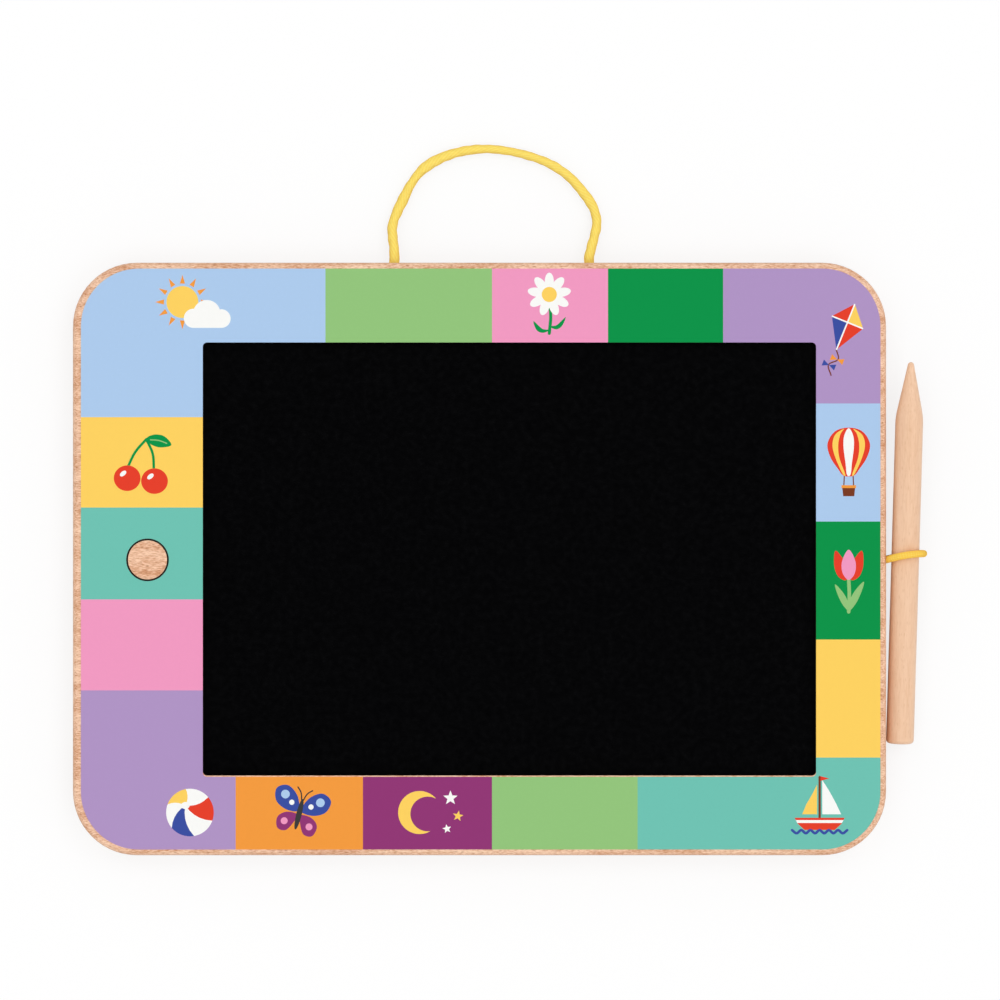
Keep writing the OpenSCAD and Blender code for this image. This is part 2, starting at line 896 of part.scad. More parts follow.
module handle_cord() {
  first = rope_route[0];
  last = rope_route[len(rope_route) - 1];
  r = cord_d / 2;
  route = concat(
    [for (b = foot_back) first - [0, b * r, 0]],
    rope_route,
    [for (i = [1 : -1 : 0]) last - [0, foot_back[i] * r, 0]]
  );
  widths = concat(
    foot_width,
    [for (p = rope_route) 1],
    [for (i = [1 : -1 : 0]) foot_width[i]]
  );
  color("khaki")
    translate([handle_x, top_y, 0])
      tube(route, cord_d, widths);
}

module handle_tails() {
  color("khaki")
    for (x = foot_x)
      translate([x, top_y, z_mid])
        rotate([90, 0, 0])
          cylinder(d = cord_d, h = knot_depth + knot_fit + knot_bite);
}

module handle_knots() {
  color("khaki")
    for (x = foot_x)
      translate([x, top_y - knot_depth - knot_fit, z_mid])
        rotate([90, 0, 0])
          capsule(knot_d, knot_l);
}

module pen_loop() {
  route = [for (p = loop_plane) on_edge(p)];
  color("gold")
    tube(route, loop_d, [for (p = route) 1]);
}

module loop_knot() {
  color("gold")
    translate(on_edge([-loop_depth - knot_fit, z_mid]))
      rotate([0, -90, loop_yaw])
        cylinder(d = knot_d, h = knot_l);
}

module pen() {
  color("peachpuff")
    translate([butt_x, butt_y, butt_z])
      rotate([0, 0, -pen_lean])
        rotate([pen_pitch - 90, 0, 0])
          rotate_extrude()
            pen_profile();
}

// Half section of the pen, butt at the origin
module pen_profile() {
  tip_y = pen_l - tip_r;
  shoulder_y = pen_l - nose_l - shoulder_r * tan(nose_angle / 2);
  shoulder_h = shoulder_r * sin(nose_angle);
  cone_y = shoulder_y + shoulder_h;
  translate([0, butt_r])
    square([pen_r, shoulder_y - butt_r]);
  square([pen_r - butt_r, butt_r]);
  translate([pen_r - butt_r, butt_r])
    mirror([0, 1])
      quarter_disc(butt_r);
  translate([0, shoulder_y])
    intersection() {
      translate([pen_r - shoulder_r, 0])
        circle(shoulder_r);
      square([pen_r, shoulder_h]);
    }
  polygon([
    [0, cone_y],
    [pen_r - shoulder_r * (1 - cos(nose_angle)), cone_y],
    [tip_r * cos(nose_angle), tip_y + tip_r * sin(nose_angle)],
    [0, tip_y + tip_r * sin(nose_angle)],
  ]);
  translate([0, tip_y])
    quarter_disc(tip_r);
}

front_panel();
front_print();
core_frame();
back_panel();
back_screws();
screen_gasket();
lcd_film();
lcd_backing();
foam_pads();
flex_tail();
erase_cap();
button_carrier();
button_housing();
key_dome();
circuit_board();
board_parts();
board_screws();
battery_tray();
contact_positive();
contact_negative();
coin_cell();
battery_leads();
battery_door();
door_screw();
door_insert();
handle_cord();
handle_tails();
handle_knots();
pen_loop();
loop_knot();
pen();
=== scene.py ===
"""Looks of a wooden writing tablet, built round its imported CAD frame.

Lengths are in metres in the frame of the CAD model: +X to the right as the tablet is
read, +Y towards the rope handle and +Z out of the screen. Sizes that are given in
millimetres are turned into metres with MM.
"""

import logging
import random
from collections.abc import Callable
from dataclasses import dataclass
from enum import Enum
from functools import partial
from itertools import accumulate, pairwise
from math import acos, atan2, cos, dist, hypot, pi, radians, sin

import bmesh
import bpy
from mathutils import Matrix, Vector
from mathutils.geometry import delaunay_2d_cdt


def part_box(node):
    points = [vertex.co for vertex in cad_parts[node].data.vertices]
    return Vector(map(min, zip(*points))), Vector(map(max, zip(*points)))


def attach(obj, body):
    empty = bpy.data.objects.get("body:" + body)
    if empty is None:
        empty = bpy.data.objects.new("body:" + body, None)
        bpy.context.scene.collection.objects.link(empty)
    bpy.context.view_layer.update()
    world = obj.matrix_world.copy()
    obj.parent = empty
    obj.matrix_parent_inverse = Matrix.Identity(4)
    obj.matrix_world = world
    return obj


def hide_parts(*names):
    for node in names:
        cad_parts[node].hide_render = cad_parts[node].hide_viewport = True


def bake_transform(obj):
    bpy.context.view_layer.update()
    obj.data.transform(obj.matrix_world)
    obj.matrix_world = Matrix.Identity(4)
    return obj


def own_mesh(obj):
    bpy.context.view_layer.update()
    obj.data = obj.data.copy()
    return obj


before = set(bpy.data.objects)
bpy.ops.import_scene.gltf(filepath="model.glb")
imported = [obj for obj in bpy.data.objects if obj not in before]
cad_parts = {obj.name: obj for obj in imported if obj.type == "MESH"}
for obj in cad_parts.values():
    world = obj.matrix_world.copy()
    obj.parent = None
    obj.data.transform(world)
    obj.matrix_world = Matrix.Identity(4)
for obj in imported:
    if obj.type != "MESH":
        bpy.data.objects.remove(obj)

LOG = logging.getLogger("tablet")
MM = 0.001
TURN = 2 * pi
LAY_MAP = "Lay"
# Most that the normal of an upright wall may lean up or down.
UPRIGHT = 0.1
# Steps between two points of a smooth closed outline, and of a drawn line.
ROUND_STEPS, STROKE_STEPS = 8, 6
# Kind of triangulation that fills the outlines.
FILLED = 1

Node = bpy.types.Node
Adder = Callable[..., Node]
Piece = bpy.types.Object
Four = tuple[float, float, float, float]
Point = tuple[float, float]
Outline = list[Point]


def linear(code: str, share: float = 1.0) -> Four:
    """Turns an sRGB hex value into a linear colour.

    Args:
        code: Six hex digits, red first.
        share: Factor that makes a lighter or darker tone.

    Returns:
        Linear red, green and blue, and 1 for alpha.
    """
    parts = [int(code[i : i + 2], 16) / 255 for i in (0, 2, 4)]
    flat = [p / 12.92 if p <= 0.04045 else ((p + 0.055) / 1.055) ** 2.4 for p in parts]
    red, green, blue = (min(1.0, p * share) for p in flat)
    return red, green, blue, 1.0


def feed(node: Node, inputs: dict[str | int, object]) -> None:
    """Links or sets the inputs of a node.

    Args:
        node: The node.
        inputs: By name or number, a node of which the first output in use is linked, a socket
            to link, or a value to set.
    """
    for key, value in inputs.items():
        if isinstance(value, Node):
            value = next(output for output in value.outputs if output.enabled)
        if isinstance(value, bpy.types.NodeSocket):
            node.id_data.links.new(value, node.inputs[key])
        else:
            node.inputs[key].default_value = value


def add_node(
    tree: bpy.types.NodeTree, kind: str, inputs: dict[str | int, object] | None = None, **settings: object
) -> Node:
    """Adds a node with its settings and links.

    Args:
        tree: The tree that the node goes into.
        kind: Blender's name of the node, less its ShaderNode.
        inputs: What feed() links or sets.
        settings: Values of the node's own properties.

    Returns:
        The new node.
    """
    node = tree.nodes.new(f"ShaderNode{kind}")
    for name, value in settings.items():
        setattr(node, name, value)
    feed(node, inputs or {})
    return node


@dataclass(frozen=True)
class Finish:
    """A surface finish, named for the real material and how its surface was made."""

    name: str
    colour: str  # Colour of the surface, as an sRGB hex value like all the others.
    roughness: float = 0.5
    metallic: float = 0.0  # 1 for a metal.
    specular: float = 0.5  # Level of the shine, where 0.5 is that of a plain dielectric.
    swing: float = 0.0  # Amount by which the roughness varies to either side.
    relief: float = 0.01  # Height of the relief in millimetres.
    sheen: str = ""  # Colour of loose fibres, through which the rims glow, where there are any.

    def material(self) -> bpy.types.Material:
        """Makes the material at its first use.

        Returns:
            The material, with the finish's own pattern.
        """
        made = bpy.data.materials.get(self.name)
        if made is None:
            made = bpy.data.materials.new(self.name)
            made.use_nodes = True
            shader = made.node_tree.nodes["Principled BSDF"]
            feed(shader, {"Base Color": linear(self.colour), "Roughness": self.roughness})
            feed(shader, {"Metallic": self.metallic, "Specular IOR Level": self.specular})
            if self.sheen:
                glow = {"Sheen Roughness": 0.7, "Sheen Tint": linear(self.sheen)}
                feed(shader, {"Sheen Weight": 1.0, **glow})
            add = partial(add_node, made.node_tree)
            colours, height = self.pattern(add)
            bump = add("Bump", {"Height": height, "Distance": self.relief * MM})
            feed(shader, {"Base Color": colours, "Normal": bump})
            if self.swing:
                low, high = self.roughness - self.swing, self.roughness + self.swing
                rough = add("MapRange", {"Value": height, "To Min": low, "To Max": high})
                feed(shader, {"Roughness": rough})
        return made

    def pattern(self, add: Adder) -> tuple[Node, Node]:
        """Adds what varies over the surface.

        Args:
            add: Adds a node to the material.

        Returns:
            The colours and the heights of the surface.
        """
        raise NotImplementedError


@dataclass(frozen=True)
class Grained(Finish):
    """A moulded, plated, foamed or printed surface with one fine grain.

    The real grain is mostly too fine to show, so it is drawn as coarse as it needs to show.
    """

    swing: float = 0.07
    grain: float = 0.5  # Size of the grain in millimetres.
    tone: float = 0.06  # Share by which the colour varies.

    def pattern(self, add: Adder) -> tuple[Node, Node]:
        """Adds the grain, which is paler where it is higher.

        Args:
            add: Adds a node to the material.

        Returns:
            The colours and the heights of the grain.
        """
        place = add("TexCoord").outputs["Object"]
        grain = add("TexNoise", {"Vector": place, "Scale": 1 / (self.grain * MM), "Detail": 2.0})
        dark, pale = (linear(self.colour, 1 + tone) for tone in (-self.tone, self.tone))
        return add("Mix", {0: grain, 6: dark, 7: pale}, data_type="RGBA"), grain


@dataclass(frozen=True)
class Beech(Finish):
    """Sanded beech: pale, with fine fibres, slow bands of tone and short dark ray flecks.

    Sizes are in millimetres. Real fibres are too fine to show, so their streaks are coarser.
    """

    swing: float = 0.1
    relief: float = 0.04
    late: str = "CB885C"  # Colour of the darker late wood.
    fleck: str = "A05E30"  # Colour of the ray flecks.
    end: str = "9C6540"  # Colour of the end grain and of the glue between two plies.
    turn: float = 0.0  # Angle in degrees round Z that turns the grain onto the X axis.
    fibre: Point = (1.5, 0.3)  # Length and width of the fibre streaks.
    band: Point = (22.0, 3.0)  # Length and width of the bands of tone.
    ray: Point = (1.9, 0.5)  # Length and width of a ray fleck's share of the surface.
    ply: float = 0.0  # Thickness of a ply, or 0 for solid wood.
    base: float = 0.0  # Height of the underside of the lowest ply.
    glue: float = 0.2  # Width of the line where two plies meet.

    def plies(self, add: Adder, place: bpy.types.NodeSocket) -> tuple[Node, Node]:
        """Counts the plies from the lowest one up.

        Args:
            add: Adds a node to the material.
            place: Place on the piece.

        Returns:
            The angle of the grain, which every second ply turns by a right angle, and the
            share of glue, which is 1 where two plies meet.
        """
        height = add("SeparateXYZ", {"Vector": place}).outputs["Z"]
        steps = {0: height, 1: 1 / (self.ply * MM), 2: -self.base / self.ply}
        count = add("Math", steps, operation="MULTIPLY_ADD")
        pair = add("Math", {0: count, 1: 2.0}, operation="FLOORED_MODULO")
        crossed = add("Math", {0: pair, 1: 1.0}, operation="GREATER_THAN")
        turns = {0: crossed, 1: TURN / 4, 2: radians(self.turn)}
        angle = add("Math", turns, operation="MULTIPLY_ADD")
        middle = add("Math", {0: count, 1: 0.5}, operation="PINGPONG")
        edge = self.glue / 2 / self.ply
        return angle, add("MapRange", {"Value": middle, "From Max": edge, "To Min": 1.0, "To Max": 0.0})

    def pattern(self, add: Adder) -> tuple[Node, Node]:
        """Adds bands, fibres and flecks that run along the grain, through the whole wood.

        Args:
            add: Adds a node to the material.

        Returns:
            The colours of the wood and the heights of its fibres.
        """
        spot = add("TexCoord").outputs
        angle, glue = radians(self.turn), 0.0
        if self.ply:
            angle, glue = self.plies(add, spot["Object"])
        along, facing = (
            add("VectorRotate", {"Vector": spot[name], "Angle": angle}, rotation_type="Z_AXIS")
            for name in ("Object", "Normal")
        )
        fibre_at, band_at, ray_at = (
            add("VectorMath", {0: along, 1: (1 / long, 1 / wide, 1 / wide)}, operation="MULTIPLY")
            for long, wide in ((a * MM, b * MM) for a, b in (self.fibre, self.band, self.ray))
        )
        fibre = add("TexNoise", {"Vector": fibre_at, "Scale": 1.0, "Detail": 3.0, "Distortion": 0.4})
        band = add("TexNoise", {"Vector": band_at, "Scale": 1.0, "Detail": 2.0})
        streaks = add("Mix", {0: 0.35, 2: fibre, 3: band})
        late = add("MapRange", {"Value": streaks, "From Min": 0.4, "From Max": 0.64})
        wood = add("Mix", {0: late, 6: linear(self.colour), 7: linear(self.late)}, data_type="RGBA")
        # A fleck lies in the middle of its share, and chance makes some too faint to see.
        ray = add("TexVoronoi", {"Vector": ray_at, "Scale": 1.0})
        core = {"From Min": 0.12, "From Max": 0.42, "To Min": 1.0, "To Max": 0.0}
        near = add("MapRange", {"Value": ray, **core})
        chance = add("SeparateColor", {"Color": ray.outputs["Color"]})
        strength = add("MapRange", {"Value": chance, "From Min": 0.35, "From Max": 1.0, "To Max": 0.75})
        flecks = add("Math", {0: near, 1: strength}, operation="MULTIPLY")
        flecked = add("Mix", {0: flecks, 6: wood, 7: linear(self.fleck)}, data_type="RGBA")
        # The end grain shows on faces across the grain, and the glue on all the edges.
        side = add("SeparateXYZ", {"Vector": facing}).outputs
        cut = add("Math", {0: side["X"]}, operation="ABSOLUTE")
        dark = add("MapRange", {"Value": cut, "From Min": 0.8, "From Max": 1.0, "To Max": 0.35})
        if self.ply:
            flat = add("Math", {0: side["Z"]}, operation="ABSOLUTE")
            seam = add("MapRange", {"Value": flat, "From Max": 0.9, "To Min": 0.55, "To Max": 0.0})
            line = add("Math", {0: glue, 1: seam}, operation="MULTIPLY")
            dark = add("Math", {0: dark, 1: line}, operation="MAXIMUM")
        return add("Mix", {0: dark, 6: flecked, 7: linear(self.end)}, data_type="RGBA"), fibre


@dataclass(frozen=True)
class Yarn(Finish):
    """Spun or braided yarn on a cord, drawn by the cord's lay map."""

    relief: float = 0.05
    sheen: str = "FFC04A"
    shade: str = "FFDE64"  # Colour of the grooves between the yarns: painted shade, darker and warmer than the crests.
    turns: int = 9  # Yarns that cross a ring of the cord.
    pitch: float = 18.0  # Length in millimetres in which the yarns go once round.
    crossed: bool = False  # Whether a second set of yarns crosses the first.
    fuzz: float = 0.3  # Size of clumps of fibres, in millimetres, as a fibre is too fine to show.

    def pattern(self, add: Adder) -> tuple[Node, Node]:
        """Adds the yarns, the grooves between them with painted shade in them, and the soft fibres on them.

        Args:
            add: Adds a node to the material.

        Returns:
            The colours and the heights of the yarns.
        """
        lay = add("UVMap", uv_map=LAY_MAP)
        slope = self.turns / self.pitch
        waves = []
        for side in (1, -1) if self.crossed else (1,):
            way = (TURN * slope * side, TURN * self.turns, 0.0)
            phase = add("VectorMath", {0: lay, 1: way}, operation="DOT_PRODUCT")
            waves.append(add("Math", {0: phase}, operation="SINE"))
        if self.crossed:
            waves = [add("Math", dict(enumerate(waves)), operation="MULTIPLY")]
        yarns = add("MapRange", {"Value": waves[0], "From Min": -1.0, "From Max": 0.6})
        place = add("TexCoord").outputs["Object"]
        fibres = add("TexNoise", {"Vector": place, "Scale": 1 / (self.fuzz * MM), "Detail": 3.0})
        soft = add("Mix", {0: 0.45, 2: yarns, 3: fibres})
        # The low places, the grooves, get the painted shade, and clumps of fibres vary the tone at random.
        tones = add("MapRange", {"Value": soft, "From Min": 0.15, "From Max": 0.75})
        ends = {6: linear(self.shade), 7: linear(self.colour)}
        return add("Mix", {0: tones, **ends}, data_type="RGBA"), soft


class Ink(Enum):
    """Inks of the screen print, by sRGB hex value."""

    LIGHT_BLUE = "ADCBED"
    LIGHT_GREEN = "93C57C"
    PINK = "F29AC2"
    DARK_GREEN = "079348"
    LILAC = "B094C5"
    YELLOW = "FFD261"
    TEAL = "6FC3B3"
    ORANGE = "F49B3F"
    PLUM = "913775"
    RED = "E6402B"
    BLUE = "3B4FA1"
    WHITE = "FAFAF7"
    BROWN = "7A3B22"
    CHARCOAL = "3C3C3B"

    def finish(self) -> Finish:
        """The ink as a finish: satin, nearly even, with the faint mottle of a screen print."""
        name = f"screen_printed_ink_{self.name.lower()}"
        return Grained(name, self.value, specular=0.05, grain=0.9, tone=0.015, relief=0.002)


# Beech plywood, sanded: pale pink-brown faces with flecks along the grain, and edges on which
# pale plies take turns with darker end grain. A ply starts a hair below its panel, so that the
# panel's faces lie inside a ply.
FRONT_BEECH = Beech("sanded_beech_ply_front", "FFD8BA", 0.55, specular=0.25, ply=1.002, base=8.999)
BACK_BEECH = Beech("sanded_beech_ply_back", "FFD8BA", 0.55, specular=0.25, ply=1.002, base=-0.001)
# The core's outer plies are laid across those of the panels.
CORE_BEECH = Beech(
    "sanded_beech_ply_core", "FFD8BA", 0.6, specular=0.25, turn=90.0, ply=1.2004, base=2.999
)
# A disc of solid beech with sanded faces: a shade darker than the board.
CAP_BEECH = Beech("sanded_beech_disc", "FCD2B3", 0.55, specular=0.25)
# Walls of beech that a laser has cut: charred to a dull dark brown.
CHARRED_BEECH = Grained("laser_cut_beech", "2A1A10", 0.8, specular=0.1, grain=0.4, tone=0.3, relief=0.02)
# Beech turned on a lathe along its grain and waxed, so that it is smoother and closer.
PEN_BEECH = Beech(
    "turned_beech", "F5CBA9", 0.34, late="EDBF9A", fleck="E2B28A", turn=-88.5,
    fibre=(5.0, 0.45), band=(50.0, 3.5), ray=(2.2, 0.5),
)
# Liquid-crystal film under clear polyester: black, with a soft gloss.
SCREEN_FILM = Grained(
    "laminated_polyester_film", "020203", 0.16, specular=0.25, grain=2.0, tone=0.3, relief=0.001
)
# Yarn-dyed cotton, laid soft: matt, with shallow grooves.
ROPE_COTTON = Yarn("soft_laid_cotton", "FFEA78", 0.9, specular=0.1)
# Polyester braid over rubber: a closer weave and a deeper yellow, with deeper painted shade in its grooves.
ELASTIC_BRAID = Yarn(
    "braided_polyester", "FFDD62", 0.75, specular=0.2, shade="FFC540",
    turns=5, pitch=8.0, crossed=True, fuzz=0.2,
)
# ABS moulded in a spark-eroded tool: black, with a dull fine grain.
BLACK_ABS = Grained("moulded_abs_black", "1B1B1C", 0.55, grain=0.3, tone=0.15, relief=0.02)
# Closed-cell polyethylene foam, cut from sheet: dull, with cells.
BLACK_FOAM = Grained("cut_foam_black", "202021", 0.95, specular=0.1, grain=0.6, tone=0.3, relief=0.1)
WHITE_FOAM = Grained("cut_foam_white", "ECECE8", 0.95, specular=0.1, grain=0.8, tone=0.05, relief=0.1)
# Polyimide foil: clear amber over copper tracks.
POLYIMIDE = Grained("rolled_polyimide_foil", "C9892C", 0.3, grain=1.5, tone=0.1, relief=0.004)
# Glass-fibre laminate under green solder mask: satin, with a faint weave.
LAMINATE = Grained("solder_masked_laminate", "1F6B45", 0.35, grain=0.6, tone=0.12, relief=0.006)
# Epoxy moulded round chips: dark grey and dull.
EPOXY = Grained("moulded_epoxy", "2E2E30", 0.6, grain=0.2, tone=0.15)
# Rolled spring steel, tin-plated: grey and satin.
SPRING_STEEL = Grained("tin_plated_spring_steel", "C9C8C2", 0.32, 1.0, grain=0.4, relief=0.003)
# Nickel-plated steel can, drawn and brushed: bright, with a faint warm tone.
CELL_STEEL = Grained("nickel_plated_steel", "D3D1CA", 0.25, 1.0, tone=0.05, relief=0.002)
# Zinc-plated steel screws: cool grey, a little cloudy.
ZINC_STEEL = Grained("zinc_plated_steel", "C6CACF", 0.34, 1.0, grain=0.8, tone=0.08, relief=0.004)
# Brass turned from bar: pale gold with a satin shine.
BRASS = Grained("turned_brass", "D3AC63", 0.3, 1.0, grain=0.4, relief=0.003)
# Soft PVC drawn over the leads: smooth, with a low shine.
RED_PVC = Grained("extruded_pvc_red", "B3271E", 0.4, grain=0.7, relief=0.004)


def coat(piece: Piece, finish: Finish) -> Piece:
    """Gives the whole of a piece one finish.

    Args:
        piece: The piece.
        finish: Its finish.

    Returns:
        The piece.
    """
    piece.data.materials.clear()
    piece.data.materials.append(finish.material())
    return piece


def dress(**finishes: Finish) -> list[Piece]:
    """Gives CAD nodes their finishes, by the nodes' names, and lists the nodes' objects."""
    return [coat(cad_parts[name], finish) for name, finish in finishes.items()]


def char_walls(name: str, rim: float = 0.0) -> None:
    """Chars the upright walls of a wooden node where they were cut by laser.

    Args:
        name: The node.
        rim: Width of the rim on which the walls stay pale.
    """
    low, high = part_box(name)
    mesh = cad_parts[name].data
    mesh.materials.append(CHARRED_BEECH.material())
    for face in mesh.polygons:
        x, y, _ = face.center
        reach = min(x - low.x, high.x - x, y - low.y, high.y - y)
        if reach >= rim and abs(face.normal.z) < UPRIGHT:
            face.material_index = 1


def new_piece(name: str, data: bpy.types.ID) -> Piece:
    """Puts something new into the scene.

    Args:
        name: Name of the object.
        data: Its mesh, lamp or camera.

    Returns:
        The object.
    """
    piece = bpy.data.objects.new(name, data)
    bpy.context.scene.collection.objects.link(piece)
    return piece


def spline(points: list[Vector], steps: int) -> list[Vector]:
    """Draws a smooth open curve through points.

    Args:
        points: The points that the curve passes through.
        steps: Number of steps between two of them.

    Returns:
        The points of the curve.
    """
    ends = [2 * points[0] - points[1], *points, 2 * points[-1] - points[-2]]
    line = []
    for a, b, c, d in zip(ends, ends[1:], ends[2:], ends[3:]):
        square, cube = 2 * a - 5 * b + 4 * c - d, 3 * b - a - 3 * c + d
        for t in (i / steps for i in range(steps)):
            line.append(0.5 * (2 * b + (c - a) * t + square * t * t + cube * t**3))
    return [*line, points[-1]]


def lengths(line: list[Vector]) -> list[float]:
    """Gives the length of a line up to each of its points."""
    return [0.0, *accumulate((b - a).length for a, b in pairwise(line))]


def heading(line: list[Vector], i: int) -> Vector:
    """Gives the direction of a line at one of its points."""
    return (line[min(i + 1, len(line) - 1)] - line[max(i - 1, 0)]).normalized()


def polar(x: float, y: float, reach: float, angle: float) -> Point:
    """Gives the point at some distance and angle, in radians, from another point."""
    return x + reach * cos(angle), y + reach * sin(angle)


def sweep(name: str, line: list[Vector], sides: int, radius: Callable[[float, float], float]) -> Piece:
    """Makes a closed tube along a line, with a lay map and a section that changes on the way.

    Args:
        name: Name of the piece.
        line: Middles of the rings.
        sides: Points in a ring.
        radius: Radius for the length along the line and the share of a turn round it.

    Returns:
        The tube, not yet riding on a body.
    """
    along = lengths(line)
    mesh = bpy.data.meshes.new(name)
    shape = bmesh.new()
    rings = []
    side = Vector((0.0, 0.0, 1.0))
    for i, middle in enumerate(line):
        ahead = heading(line, i)
        side = (side - side.dot(ahead) * ahead).normalized()
        across = ahead.cross(side)
        ring = []
        for k in range(sides):
            turn = TURN * k / sides
            way = cos(turn) * side + sin(turn) * across
            ring.append(shape.verts.new(middle + radius(along[i], k / sides) * way))
        rings.append(ring)
    lay = shape.loops.layers.uv.new(LAY_MAP)
    for i, (near, far) in enumerate(pairwise(rings)):
        for k in range(sides):
            after = (k + 1) % sides
            face = shape.faces.new((near[k], near[after], far[after], far[k]))
            face.smooth = True
            spots = ((i, k), (i, k + 1), (i + 1, k + 1), (i + 1, k))
            for loop, (ring_number, corner) in zip(face.loops, spots):
                loop[lay].uv = (along[ring_number] / MM, corner / sides)
    shape.faces.new(list(reversed(rings[0])))
    shape.faces.new(rings[-1])
    shape.to_mesh(mesh)
    shape.free()
    return new_piece(name, mesh)


@dataclass
class Studio:
    """The stage: a white floor, soft lamps all round and a camera straight above."""

    middle: Point = (7.05 * MM, 20.3 * MM)  # Place on the tablet that the camera looks at.
    view: float = 344 * MM  # Width of the camera's view at the front face.
    front: float = 12 * MM  # Height of the front face.
    lens: float = 200.0  # Focal length in millimetres, long for a view square on.
    # Strength of each lamp and its bearing from +X in degrees.
    lamps: tuple[Point, ...] = ((0.42, 135.0), (0.36, 225.0), (0.68, 45.0), (0.58, 315.0))
    lamp_height: float = 58.0  # Angle of the lamps above the floor, in degrees.
    lamp_spread: float = 35.0  # Angle that a lamp fills, in degrees, for soft shadows.
    fade: Point = (0.5, 0.8)  # Heights, as shares of the way up, between which the white walls fade.
    ceiling: float = 0.03  # Glow of the ceiling.
    floor_size: float = 60.0  # Side of the floor.
    floor_drop: float = 0.1 * MM  # Depth of the floor below the tablet's back.
    floor_lift: float = 0.8  # Share of the floor's look that is plain white.
    floor_bounce: str = "A8A8A8"  # Colour of the floor for the light that it throws back.

    def build(self) -> None:
        """Makes camera, lamps, surroundings and floor."""
        self.add_camera()
        self.add_lamps()
        self.add_surroundings()
        self.add_floor()

    def add_camera(self) -> None:
        """Hangs the camera over the tablet, with the handle at the top of the picture."""
        data = bpy.data.cameras.new("camera")
        data.lens = self.lens
        camera = new_piece("camera", data)
        camera.location = (*self.middle, self.front + self.view * self.lens / data.sensor_width)
        bpy.context.scene.camera = camera

    def add_lamps(self) -> None:
        """Sets soft lamps round the tablet, stronger on its right."""
        lean = radians(90 - self.lamp_height)
        for i, (power, stand) in enumerate(self.lamps):
            data = bpy.data.lights.new(f"lamp_{i}", "SUN")
            data.energy = power
            data.angle = radians(self.lamp_spread)
            lamp = new_piece(f"lamp_{i}", data)
            lamp.rotation_euler = (lean, 0.0, radians(stand + 90))

    def add_surroundings(self) -> None:
        """Paints white walls that fade into a dark ceiling, which the screen mirrors."""
        scene = bpy.context.scene
        scene.view_settings.view_transform = "Standard"
        scene.world = bpy.data.worlds.new("studio")
        scene.world.use_nodes = True
        tree = scene.world.node_tree
        add = partial(add_node, tree)
        way = add("TexCoord").outputs["Generated"]
        height = add("SeparateXYZ", {"Vector": way}).outputs["Z"]
        low, high = self.fade
        walls = {"From Min": low, "From Max": high, "To Min": 1.0, "To Max": self.ceiling}
        glow = add("MapRange", {"Value": height, **walls})
        feed(tree.nodes["Background"], {"Color": glow})

    def add_floor(self) -> None:
        """Lays a white floor that keeps the tablet's shadow and is open from below."""
        half = self.floor_size / 2
        mesh = bpy.data.meshes.new("floor")
        corners = [(-half, -half, 0.0), (half, -half, 0.0), (half, half, 0.0), (-half, half, 0.0)]
        mesh.from_pydata(corners, [], [(0, 1, 2, 3)])
        floor = new_piece("floor", mesh)
        floor.location.z = -self.floor_drop
        material = bpy.data.materials.new("white_floor")
        material.use_nodes = True
        tree = material.node_tree
        add = partial(add_node, tree)
        tree.nodes.remove(tree.nodes["Principled BSDF"])
        ray = add("LightPath").outputs
        seen = ray["Is Camera Ray"]
        for other in ("Is Glossy Ray", "Is Transmission Ray"):
            seen = add("Math", {0: seen, 1: ray[other]}, operation="MAXIMUM")
        lift = add("Math", {0: seen, 1: self.floor_lift}, operation="MULTIPLY")
        bounce, plain = linear(self.floor_bounce), linear("FFFFFF")
        colour = add("Mix", {0: seen, 6: bounce, 7: plain}, data_type="RGBA")
        paint = add("BsdfDiffuse", {"Color": colour})
        white = add("Emission", {"Color": plain})
        top = add("MixShader", {0: lift, 1: paint, 2: white})
        below = add("NewGeometry").outputs["Backfacing"]
        clear = add("BsdfTransparent")
        whole = add("MixShader", {0: below, 1: top, 2: clear})
        feed(tree.nodes["Material Output"], {"Surface": whole})
        mesh.materials.append(material)


